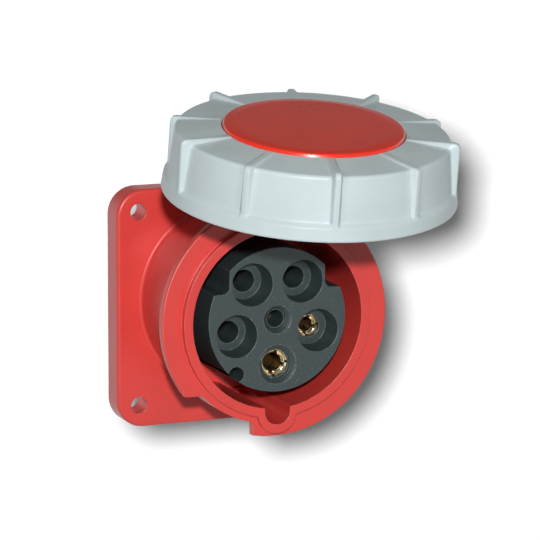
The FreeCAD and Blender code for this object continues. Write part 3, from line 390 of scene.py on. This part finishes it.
def make_metal(name, shade, roughness, pitch=0.0003, along=(0.0, 1.0, 0.0), depth=0.000003, tarnish=0.25):
    """Turned metal: fine rings from the tool, patchy tarnish and softened edges."""
    material, graph, shader = new_material(name, {"Metallic": 1.0})
    across = {f"Along {letter}": weight for letter, weight in zip("XYZ", along)}
    rings = place_group(graph, "turning rings", Pitch=pitch, **across)
    skin = place_group(graph, "moulded grain", Scale=1800.0, Mottle_Scale=160.0)
    edges = place_group(graph, "rounded edges", Radius=0.0002)
    dull = graph.sum("MULTIPLY", skin["Mottle"], tarnish)
    base = graph.blend(dull, rgba(shade), rgba(shade, 0.55))
    base = graph.blend(edges["Edge"], base, lighten(shade, 0.3))
    graph.feed(shader["Base Color"], base)
    graph.feed(shader["Roughness"], graph.spread(skin["Mottle"], 0.0, 1.0, roughness, roughness + 0.10))
    height = graph.sum("ADD", rings["Height"], graph.sum("MULTIPLY", skin["Height"], 0.4))
    bump = graph.add("ShaderNodeBump", Strength=1.0, Distance=depth, Height=height, Normal=edges["Normal"])
    graph.feed(shader["Normal"], bump.outputs["Normal"])
    return material


def make_rubber(name, shade):
    """Moulded rubber: dull, with a fine pitted skin and a greyish bloom in patches."""
    material, graph, shader = new_material(name, {"IOR": 1.52})
    skin = place_group(graph, "moulded grain", Scale=1400.0, Mottle_Scale=90.0)
    edges = place_group(graph, "rounded edges", Radius=0.0004)
    bloom = graph.sum("MULTIPLY", skin["Mottle"], 0.35)
    graph.feed(shader["Base Color"], graph.blend(bloom, rgba(shade), lighten(shade, 0.05)))
    graph.feed(shader["Roughness"], graph.spread(skin["Mottle"], 0.0, 1.0, 0.62, 0.78))
    bump = graph.add("ShaderNodeBump", Strength=1.0, Distance=0.00001, Height=skin["Height"],
                     Normal=edges["Normal"])
    graph.feed(shader["Normal"], bump.outputs["Normal"])
    return material


def coat_node(name, material):
    """Give a CAD node its finish."""
    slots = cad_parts[name].data.materials
    slots.clear()
    slots.append(material)


# Surfaces made of rows of points


def rounded(corners, closed=True, steps=5):
    """Outline through corners, each (across, along, radius) in millimetres, in metres.

    A corner with a radius becomes the arc that touches both of its sides. Each straight side gets two
    more points close to its ends, so that the shading of an arc stays with the arc.
    """
    arcs = []
    count = len(corners)
    for index, (across, along, radius) in enumerate(corners):
        here = np.array((across, along))
        if radius == 0 or (not closed and index in (0, count - 1)):
            arcs.append(here[None])
            continue
        before = np.array(corners[index - 1][:2]) - here
        after = np.array(corners[(index + 1) % count][:2]) - here
        before = before / np.linalg.norm(before)
        after = after / np.linalg.norm(after)
        half = np.arccos(np.clip(before @ after, -1.0, 1.0)) / 2
        middle = (before + after) / np.linalg.norm(before + after)
        centre = here + middle * radius / np.sin(half)
        first = here + before * radius / np.tan(half) - centre
        last = here + after * radius / np.tan(half) - centre
        start = np.arctan2(first[1], first[0])
        sweep = (np.arctan2(last[1], last[0]) - start + np.pi) % (2 * np.pi) - np.pi
        angle = start + sweep * np.linspace(0.0, 1.0, steps)
        arcs.append(centre + radius * np.stack((np.cos(angle), np.sin(angle)), axis=1))
    points = []
    for index, arc in enumerate(arcs):
        points.append(arc)
        if closed or index < count - 1:
            start = arc[-1]
            side = arcs[(index + 1) % count][0] - start
            reach = np.linalg.norm(side)
            inset = min(SIDE_INSET, reach / 4) / reach
            points.append(start + side * np.array(((inset,), (1 - inset,))))
    return np.concatenate(points) * MM


def on_lid(radius, angle, height):
    """Place in the open lid: radius and angle round the ring's axis, height above its mouth."""
    across = radius * np.cos(angle)
    back = radius * np.sin(angle) - LID_REACH
    out = height + LID_RISE
    turn_sin, turn_cos = math.sin(LID_TURN), math.cos(LID_TURN)
    return np.stack((across, HINGE[0] + back * turn_sin - out * turn_cos,
                     HINGE[1] + back * turn_cos + out * turn_sin), axis=-1)


def in_barrel(radius, angle, depth):
    """Place round the barrel's axis: depth is measured to the front from the panel."""
    return np.stack((radius * np.cos(angle), -depth, BARREL_RISE + radius * np.sin(angle)), axis=-1)


def make_piece(name, sheets, material):
    """Smooth mesh from closed sheets, with its faces outward.

    A sheet is (grid, ring): a grid of points in rows and columns whose columns close round. Its rows close
    round too where ring is true, and otherwise its first and last rows are each filled by one flat face.
    """
    places, faces, base = [], [], 0
    for grid, ring in sheets:
        rows, columns = grid.shape[:2]
        index = base + np.arange(rows * columns).reshape(rows, columns)
        if ring:
            lower, upper = index, np.roll(index, -1, axis=0)
        else:
            lower, upper = index[:-1], index[1:]
        quads = np.stack((lower, np.roll(lower, -1, axis=1), np.roll(upper, -1, axis=1), upper), axis=-1)
        quads = quads.reshape(-1, 4)
        ends = [] if ring else [index[0][::-1], index[-1]]
        points = grid.reshape(-1, 3)
        corner = points[quads - base]
        volume = 0.0
        for second, third in ((1, 2), (2, 3)):
            normal = np.cross(corner[:, second], corner[:, third])
            volume += np.einsum("ij,ij->i", corner[:, 0], normal).sum()
        for end in ends:
            loop = points[end - base]
            volume += np.einsum("ij,ij->i", loop[:1].repeat(len(loop) - 1, axis=0),
                                np.cross(loop[:-1], loop[1:])).sum()
        if volume < 0:
            quads = quads[:, ::-1]
            ends = [end[::-1] for end in ends]
        faces += quads.tolist() + [end.tolist() for end in ends]
        places.append(points)
        base += rows * columns
    mesh = bpy.data.meshes.new(name)
    mesh.from_pydata(np.concatenate(places).tolist(), [], faces)
    mesh.polygons.foreach_set("use_smooth", np.ones(len(mesh.polygons), dtype=bool))
    mesh.materials.append(material)
    mesh.validate()
    mesh.update()
    made = bpy.data.objects.new(name, mesh)
    bpy.context.scene.collection.objects.link(made)
    return made


def ring_sheet(form):
    """Shell of the locking ring with its ribs.

    Each column on a rib keeps its distance d from the rib's middle plane. If that plane stands at angle a,
    the column stands at angle a + asin(d / r) at radius r. Between two ribs the angle runs on evenly. The
    point is shell + w (rib - shell), where shell and rib are outlines with as many points, and w falls from
    1 to 0 over the rib's flank as half a cosine wave.
    """
    low_radius, low_height = form.low_rib_radius / MM, form.low_rib_height / MM
    tall_radius, tall_height = form.tall_rib_radius / MM, form.tall_rib_height / MM
    roof = LEDGE_HEIGHT - 2.0
    skirt_top, hollow_foot, step = 5.6, 8.6, 4.0
    foot = [(MOUTH_RADIUS, 0.0, 0.4), (SKIRT_RADIUS, 0.0, 0.7), (SKIRT_RADIUS - 0.7, skirt_top, 0.9)]
    inside = [(EYE_RADIUS, LEDGE_HEIGHT, 0.2), (LEDGE_RADIUS, LEDGE_HEIGHT, 0.2), (LEDGE_RADIUS, roof, 0.2),
              (HOLLOW_RADIUS - 1.7, roof, 0.6), (HOLLOW_RADIUS, hollow_foot, 0.4),
              (HOLLOW_RADIUS + 0.1, step, 0.3), (MOUTH_RADIUS, step, 0.3)]
    shell = rounded(foot + [(*WALL_FOOT, 1.1), (*WALL_TOP, 1.5), (EYE_RADIUS, EYE_HEIGHT, 0.4)] + inside)
    low = rounded(foot + [(low_radius + 0.2, 7.1, 0.5), (low_radius, low_height, 2.2),
                          (EYE_RADIUS, EYE_HEIGHT + 0.02, 0.4)] + inside)
    tall = rounded(foot + [(tall_radius, 7.0, 0.5), (tall_radius, tall_height, 2.4),
                           (EYE_RADIUS, EYE_HEIGHT + 0.05, 0.4)] + inside)
    crest, edge = form.rib_crest, form.rib_foot
    flank = np.linspace(crest, edge, 8)
    middle = crest * np.array((-4, 0, 4)) / 9
    offset = np.concatenate((-flank[::-1], middle, flank))
    fall = np.clip((np.abs(offset) - crest) / (edge - crest), 0.0, 1.0)
    weight = (0.5 + 0.5 * np.cos(np.pi * fall))[None, :, None]
    pitch = 2 * np.pi / RIB_COUNT
    between = np.linspace(0.0, 1.0, 11)[1:-1]
    columns = []
    for number in range(RIB_COUNT):
        rib = low if number % 2 == 0 else tall
        start = form.rib_turn + number * pitch
        outline = shell[:, None] + weight * (rib - shell)[:, None]
        columns.append(on_lid(outline[..., 0], start + np.arcsin(offset / outline[..., 0]), outline[..., 1]))
        lean = np.arcsin(edge / shell[:, :1])
        angle = start + lean + (pitch - 2 * lean) * between
        columns.append(on_lid(shell[:, :1] + 0 * angle, angle, shell[:, 1:] + 0 * angle))
    return np.concatenate(columns, axis=1)


def lug_sheet(middle):
    """Bayonet lug inside the ring: a rounded block swept about the ring's axis, even angle by even angle."""
    tip, root = 44.8, HOLLOW_RADIUS + 0.4
    front, back = 4.6, 8.6
    outline = rounded([(tip, front, 0.4), (root, front, 0.1), (root, back, 0.1), (tip, back, 0.6)])
    angle = middle + np.linspace(-LUG_HALF_SWEEP, LUG_HALF_SWEEP, 24)
    return on_lid(outline[None, :, 0] + 0 * angle[:, None], angle[:, None], outline[None, :, 1])


def turned_sheet(outline, place, count=128):
    """Outline turned about the axis that the given placing measures from, in even steps."""
    angle = np.arange(count) * 2 * np.pi / count
    return place(outline[:, :1] + 0 * angle, angle, outline[:, 1:] + 0 * angle)


def fillet_sheet(form):
    """Fillet at the neck's foot, sunk a little into neck and flange and turned about the barrel's axis."""
    radius = form.fillet_radius / MM
    inner, skin = NECK_RADIUS - 0.2, NECK_RADIUS + 0.04
    back, face = FLANGE_FACE - 0.05, FLANGE_FACE + 0.03
    reach, top = NECK_RADIUS + radius + 0.3, FLANGE_FACE + radius + 0.5
    outline = rounded([(inner, back, 0.0), (reach, back, 0.02), (reach, face, 0.02), (skin, face, radius),
                       (skin, top, 0.02), (inner, top, 0.0)], steps=7)
    return turned_sheet(outline, in_barrel, 160)


def cap_sheet(form):
    """Disc in the lid: a bevelled lip and a barely domed top, turned about the ring's axis."""
    radius, lip = form.cap_radius / MM, form.cap_lip / MM
    middle, seat = 0.5, LEDGE_HEIGHT + 0.3
    outline = rounded([(middle, seat, 0.0), (radius, seat, 0.2), (radius, lip - 1.4, 0.5),
                       (radius - 0.6, lip, 0.9), (radius - 4.5, lip + 0.25, 14.0),
                       (middle, lip + 0.35, 0.0)], closed=False, steps=14)
    return turned_sheet(outline, on_lid)


def off_axis(angle):
    """Way from the barrel's axis to that of the contact at this angle."""
    return CONTACT_PITCH * MM * np.array((math.cos(angle), 0.0, math.sin(angle)))


def petal_sheets(sleeve, centre, form):
    """Four sprung petals in the mouth of a sleeve, drawn in a little so that they grip.

    The outline of a petal (a tube wall with a bevelled nose) stands at angle q + asin(s / r), where q is the
    middle of a slit and s half its width, and sweeps to the next slit.
    """
    bore, mouth = sleeve
    outer, throat = bore - 0.03, bore - form.petal_grip / MM
    root, nose = mouth - 9.0, mouth - 2.1
    outline = rounded([(bore - 0.1, root, 0.0), (outer, root, 0.0), (outer, nose, 0.1),
                       (bore - 0.3, nose, 0.2), (throat, nose - 1.1, 0.8), (throat, nose - 2.9, 1.0)],
                      steps=7)
    radius, depth = outline[:, 0], outline[:, 1]
    lean = np.arcsin(form.slit_width / 2 / radius)
    quarter = np.pi / 2
    part = np.linspace(0.0, 1.0, 16)[:, None]
    sheets = []
    for number in range(4):
        angle = form.slit_turn + number * quarter + lean + (quarter - 2 * lean) * part
        sheets.append((in_barrel(radius + 0 * angle, angle, depth + 0 * angle) + centre, False))
    return sheets


def funnel_sheet(dish, centre, form):
    """Funnel that leads into a contact hole: a three-cornered outline turned about the hole's axis."""
    wide, narrow = dish
    floor = INSERT_FACE - form.dish_depth / MM + 0.04
    outline = rounded([(wide, INSERT_FACE - 0.05, 0.03), (wide, floor, 0.03), (narrow, floor, 0.2)])
    return turned_sheet(outline, in_barrel, 96) + centre


# Operators: one for each piece or group of like pieces, and one for the stage


class SOCKET_OT_effects(bpy.types.Operator):
    """Build the shader effects that the materials share"""
    bl_idname = "socket.effects"
    bl_label = "Shared effects"

    def execute(self, context):
        make_grain()
        make_edges()
        make_specks()
        make_turning()
        return {"FINISHED"}


class SOCKET_OT_housing(bpy.types.Operator):
    """Dress the flange, barrel and collar"""
    bl_idname = "socket.housing"
    bl_label = "Housing"

    def execute(self, context):
        finish = context.scene.socket_finish
        form = context.scene.socket_form
        shade, roughness = finish.housing_red, finish.housing_roughness
        # On the housing the paler edges are mostly a painted highlight along the collar's and flange's edges.
        red = make_moulded("housing red", shade, roughness, edge_radius=0.0006, edge_wear_and_highlight=0.3)
        coat_node("flange", red)
        coat_node("housing", red)
        plain = make_moulded("fillet red", shade, roughness, edge_wear_and_highlight=0.0)
        fillet = make_piece("neck_fillet", [(fillet_sheet(form), True)], plain)
        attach(fillet, "base")
        return {"FINISHED"}


class SOCKET_OT_insert(bpy.types.Operator):
    """Dress the contact insert and the terminal carrier"""
    bl_idname = "socket.insert"
    bl_label = "Insert and carrier"

    def execute(self, context):
        finish = context.scene.socket_finish
        # On the insert the paler rims are mostly a painted highlight on the rounded edges of its holes.
        grey = make_moulded("insert grey", finish.insert_grey, finish.insert_roughness, depth=0.000006,
                            edge_radius=0.0006, speck=0.45, edge_wear_and_highlight=0.35, ridges=0.0009, coat=0.2)
        coat_node("contact_insert", grey)
        form = context.scene.socket_form
        sheets = [(funnel_sheet(PILOT_DISH, np.zeros(3), form), True),
                  (funnel_sheet(EARTH_DISH, off_axis(EARTH_ANGLE), form), True)]
        funnels = make_piece("insert_funnels", sheets, grey)
        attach(funnels, "base")
        black = make_moulded("carrier black", finish.carrier_black, finish.carrier_roughness, edge_wear_and_highlight=0.2)
        coat_node("terminal_carrier", black)
        return {"FINISHED"}


class SOCKET_OT_contacts(bpy.types.Operator):
    """Dress the brass contacts with their springs"""
    bl_idname = "socket.contacts"
    bl_label = "Contacts"

    def execute(self, context):
        finish = context.scene.socket_finish
        brass = make_metal("contact brass", finish.brass, roughness=0.20)
        spring = make_metal("spring steel", finish.steel, roughness=0.28, pitch=0.0002)
        for name in CONTACTS:
            coat_node(f"contact_{name}", brass)
            coat_node(f"spring_{name}", spring)
        form = context.scene.socket_form
        sheets = (petal_sheets(NEUTRAL_SLEEVE, off_axis(NEUTRAL_ANGLE), form)
                  + petal_sheets(EARTH_SLEEVE, off_axis(EARTH_ANGLE), form))
        petals = make_piece("sleeve_petals", sheets, brass)
        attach(petals, "base")
        return {"FINISHED"}


class SOCKET_OT_screws(bpy.types.Operator):
    """Dress the screws and the hinge pin"""
    bl_idname = "socket.screws"
    bl_label = "Screws and pin"

    def execute(self, context):
        finish = context.scene.socket_finish
        steel = make_metal("screw steel", finish.steel, roughness=0.30)
        brass = make_metal("screw brass", finish.brass, roughness=0.28, along=(0.6, 0.0, 0.8))
        pin = make_metal("pin steel", finish.steel, roughness=0.24, along=(1.0, 0.0, 0.0))
        coat_node("hinge_pin", pin)
        coat_node("fixing_screws", steel)
        coat_node("lid_screws", steel)
        coat_node("terminal_screws", brass)
        coat_node("pilot_terminal_screw", brass)
        return {"FINISHED"}


class SOCKET_OT_seals(bpy.types.Operator):
    """Dress the gaskets and the lid's seal"""
    bl_idname = "socket.seals"
    bl_label = "Gaskets and seal"

    def execute(self, context):
        rubber = make_rubber("black rubber", context.scene.socket_finish.rubber_black)
        for name in ("flange_gasket", "insert_gasket", "lid_seal"):
            coat_node(name, rubber)
        return {"FINISHED"}


class SOCKET_OT_ring(bpy.types.Operator):
    """Dress the lid's ribbed locking ring"""
    bl_idname = "socket.ring"
    bl_label = "Locking ring"

    def execute(self, context):
        finish = context.scene.socket_finish
        grey = make_moulded("ring grey", finish.ring_grey, finish.ring_roughness, edge_wear_and_highlight=0.2, shine=0.32)
        sheets = [(ring_sheet(context.scene.socket_form), True)]
        sheets += [(lug_sheet(middle), False) for middle in LUG_MIDDLES]
        ring = make_piece("ribbed_ring", sheets, grey)
        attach(ring, "ring")
        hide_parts("locking_ring")
        return {"FINISHED"}


class SOCKET_OT_lid(bpy.types.Operator):
    """Dress the lid's cap, inner cover and slip washer"""
    bl_idname = "socket.lid"
    bl_label = "Lid"

    def execute(self, context):
        finish = context.scene.socket_finish
        red = make_moulded("cap red", finish.cap_red, finish.cap_roughness, depth=0.000001, coat=0.9,
                           shine=0.12)
        cap = make_piece("rimmed_cap", [(cap_sheet(context.scene.socket_form), False)], red)
        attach(cap, "lid")
        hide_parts("lid_cap")
        coat_node("lid_cover", make_moulded("cover grey", finish.cover_grey, finish.cover_roughness))
        coat_node("ring_washer", make_moulded("washer white", finish.washer_white, finish.washer_roughness))
        return {"FINISHED"}


def direction(azimuth, elevation):
    """Unit vector towards a place that an azimuth and an elevation name."""
    return Vector((math.sin(azimuth) * math.cos(elevation), -math.cos(azimuth) * math.cos(elevation),
                   math.sin(elevation)))


def stage_object(name, data, place, back=None):
    """Add a lamp, camera or stage piece that looks against its back direction."""
    made = bpy.data.objects.new(name, data)
    bpy.context.scene.collection.objects.link(made)
    if back is not None:
        made.rotation_mode = "QUATERNION"
        made.rotation_quaternion = (-back).to_track_quat("-Z", "Y")
    made.location = place
    return made


def add_lamp(name, aim, azimuth, elevation, distance, level, size):
    """Round area lamp that gives a facing white surface the stated level.

    Its power is the level times the square of pi and the square of the distance.
    """
    data = bpy.data.lights.new(name, "AREA")
    data.shape = "DISK"
    data.size = size
    data.energy = level * math.pi ** 2 * distance ** 2
    back = direction(azimuth, elevation)
    return stage_object(name, data, aim + back * distance, back)


def link_light(lamp, objects, state):
    """Let a lamp light only these objects, or all but these."""
    group = bpy.data.collections.new(f"{lamp.name} reach")
    for item in objects:
        group.objects.link(item)
    for entry in group.collection_objects:
        entry.light_linking.link_state = state
    lamp.light_linking.receiver_collection = group


def flat_piece(name, corners):
    """Four-cornered flat stage piece."""
    mesh = bpy.data.meshes.new(name)
    mesh.from_pydata([tuple(corner) for corner in corners], [], [(0, 1, 2, 3)])
    return stage_object(name, mesh, (0.0, 0.0, 0.0))


def paper(name, one_sided):
    """White paper that takes the object's shadow and is plain white in a mirror.

    A one-sided sheet is clear from behind.
    """
    material = bpy.data.materials.new(name)
    material.use_nodes = True
    graph = Graph(material.node_tree)
    material.node_tree.nodes.clear()
    surface = graph.add("ShaderNodeBsdfDiffuse", Color=PAPER_WHITE).outputs[0]
    glow = graph.add("ShaderNodeEmission", Color=WHITE, Strength=1.0).outputs[0]
    path = graph.add("ShaderNodeLightPath").outputs
    mirrored = graph.sum("MAXIMUM", path["Is Glossy Ray"], path["Is Transmission Ray"])
    surface = join_shaders(graph, mirrored, surface, glow)
    if one_sided:
        clear = graph.add("ShaderNodeBsdfTransparent").outputs[0]
        behind = graph.add("ShaderNodeNewGeometry").outputs["Backfacing"]
        surface = join_shaders(graph, behind, surface, clear)
    graph.feed(graph.add("ShaderNodeOutputMaterial").inputs["Surface"], surface)
    return material


def join_shaders(graph, factor, first, second):
    """Mix two shaders."""
    node = graph.add("ShaderNodeMixShader")
    graph.feed(node.inputs[0], factor)
    graph.feed(node.inputs[1], first)
    graph.feed(node.inputs[2], second)
    return node.outputs[0]


def make_world(ambient, ceiling):
    """Low even light from all round.

    The camera sees white, and glossy faces mirror a white room that turns to the ceiling's colour higher up.
    """
    world = bpy.data.worlds.new("room")
    bpy.context.scene.world = world
    world.use_nodes = True
    graph = Graph(world.node_tree)
    world.node_tree.nodes.clear()
    ray = graph.add("ShaderNodeTexCoord").outputs["Generated"]
    rise = graph.add("ShaderNodeSeparateXYZ", Vector=ray).outputs["Z"]
    room = graph.blend(graph.spread(rise, *CEILING_RISE), WHITE, rgba(ceiling))
    light = graph.add("ShaderNodeBackground", Color=AMBIENT_TINT, Strength=ambient).outputs[0]
    seen = graph.add("ShaderNodeBackground", Color=WHITE, Strength=1.0).outputs[0]
    mirror = graph.add("ShaderNodeBackground", Color=room, Strength=1.0).outputs[0]
    path = graph.add("ShaderNodeLightPath").outputs
    mirrored = graph.sum("MAXIMUM", path["Is Glossy Ray"], path["Is Transmission Ray"])
    result = join_shaders(graph, mirrored, light, mirror)
    result = join_shaders(graph, path["Is Camera Ray"], result, seen)
    graph.feed(graph.add("ShaderNodeOutputWorld").inputs["Surface"], result)


class SOCKET_OT_stage(bpy.types.Operator):
    """Set up the camera, lamps, floor and backdrop"""
    bl_idname = "socket.stage"
    bl_label = "Stage"

    def execute(self, context):
        stage = context.scene.socket_stage
        back = direction(stage.camera_azimuth, stage.camera_elevation)
        level = Vector((math.cos(stage.camera_azimuth), math.sin(stage.camera_azimuth), 0.0))
        rise = back.cross(level)
        roll = stage.camera_roll
        right = level * math.cos(roll) + rise * math.sin(roll)
        up = rise * math.cos(roll) - level * math.sin(roll)
        aim = Vector((0.0, -stage.aim_depth, 0.0)) + right * stage.aim_right + up * stage.aim_up
        data = bpy.data.cameras.new("camera")
        data.sensor_width = SENSOR_WIDTH
        data.lens = stage.lens
        data.clip_start = CLIP_START
        data.clip_end = CLIP_END
        camera = stage_object("camera", data, aim)
        place = Matrix((right, up, back)).transposed().to_4x4()
        place.translation = aim + back * stage.camera_distance
        camera.matrix_world = place
        context.scene.camera = camera

        behind = -back * stage.backdrop_gap
        height = stage.floor_height
        lean = up / up.z
        foot = behind + lean * (height - behind.z)
        wide = level * BACKDROP_HALF_WIDTH
        tall = lean * BACKDROP_HEIGHT
        backdrop = flat_piece("backdrop", (foot - wide, foot + wide, foot + wide + tall, foot - wide + tall))
        side = FLOOR_HALF_SIDE
        floor = flat_piece("floor", ((-side, -side, height), (side, -side, height), (side, side, height),
                                     (-side, side, height)))
        backdrop.data.materials.append(paper("backdrop paper", True))
        floor.data.materials.append(paper("floor paper", False))
        for sheet in (backdrop, floor):
            sheet.visible_diffuse = False
        backdrop.visible_shadow = False
        backdrop.visible_glossy = False

        key = add_lamp("key lamp", aim, stage.key_azimuth, stage.key_elevation, stage.key_distance,
                       stage.key_level, stage.key_size)
        fill = add_lamp("rear fill", aim, stage.camera_azimuth + math.pi, 0.0, **REAR_FILL)
        link_light(key, (backdrop, floor), "EXCLUDE")
        link_light(fill, (backdrop, floor), "EXCLUDE")
        fill.visible_glossy = False
        azimuth = stage.camera_azimuth + BACKDROP_LAMP_SHIFT[0]
        elevation = stage.camera_elevation + BACKDROP_LAMP_SHIFT[1]
        distance = stage.camera_distance + BACKDROP_LAMP_BEHIND
        shade = add_lamp("backdrop lamp", aim, azimuth, elevation, distance, **BACKDROP_LAMP)
        shade.visible_camera = False
        link_light(shade, (backdrop,), "INCLUDE")
        spot = Vector((0.0, FLOOR_LAMP_AIM, height))
        top = add_lamp("floor lamp", spot, 0.0, FLOOR_LAMP_RISE, **FLOOR_LAMP)
        link_light(top, (floor,), "INCLUDE")
        make_world(stage.ambient, stage.ceiling)
        context.scene.view_settings.view_transform = "Standard"
        return {"FINISHED"}


STEPS = (SOCKET_OT_stage, SOCKET_OT_effects, SOCKET_OT_housing, SOCKET_OT_insert, SOCKET_OT_contacts,
         SOCKET_OT_screws, SOCKET_OT_seals, SOCKET_OT_ring, SOCKET_OT_lid)


class SOCKET_PT_panel(bpy.types.Panel):
    """Buttons for each step, and the settings"""
    bl_label = "Panel Socket"
    bl_idname = "SOCKET_PT_panel"
    bl_space_type = "VIEW_3D"
    bl_region_type = "UI"
    bl_category = "Socket"

    def draw(self, context):
        for step in STEPS:
            self.layout.operator(step.bl_idname)
        scene = context.scene
        for settings in (scene.socket_finish, scene.socket_form, scene.socket_stage):
            box = self.layout.box()
            for name in settings.__annotations__:
                box.prop(settings, name)


CLASSES = (SocketFinish, SocketForm, SocketStage) + STEPS + (SOCKET_PT_panel,)


def register():
    """Make the settings, steps and panel known."""
    for item in CLASSES:
        bpy.utils.register_class(item)
    bpy.types.Scene.socket_finish = bpy.props.PointerProperty(type=SocketFinish)
    bpy.types.Scene.socket_form = bpy.props.PointerProperty(type=SocketForm)
    bpy.types.Scene.socket_stage = bpy.props.PointerProperty(type=SocketStage)


def unregister():
    """Take the settings, steps and panel away again."""
    del bpy.types.Scene.socket_stage
    del bpy.types.Scene.socket_form
    del bpy.types.Scene.socket_finish
    for item in reversed(CLASSES):
        bpy.utils.unregister_class(item)


def main():
    """Dress the socket."""
    register()
    for step in STEPS:
        area, name = step.bl_idname.split(".")
        getattr(getattr(bpy.ops, area), name)()


if __name__ == "__main__":
    main()
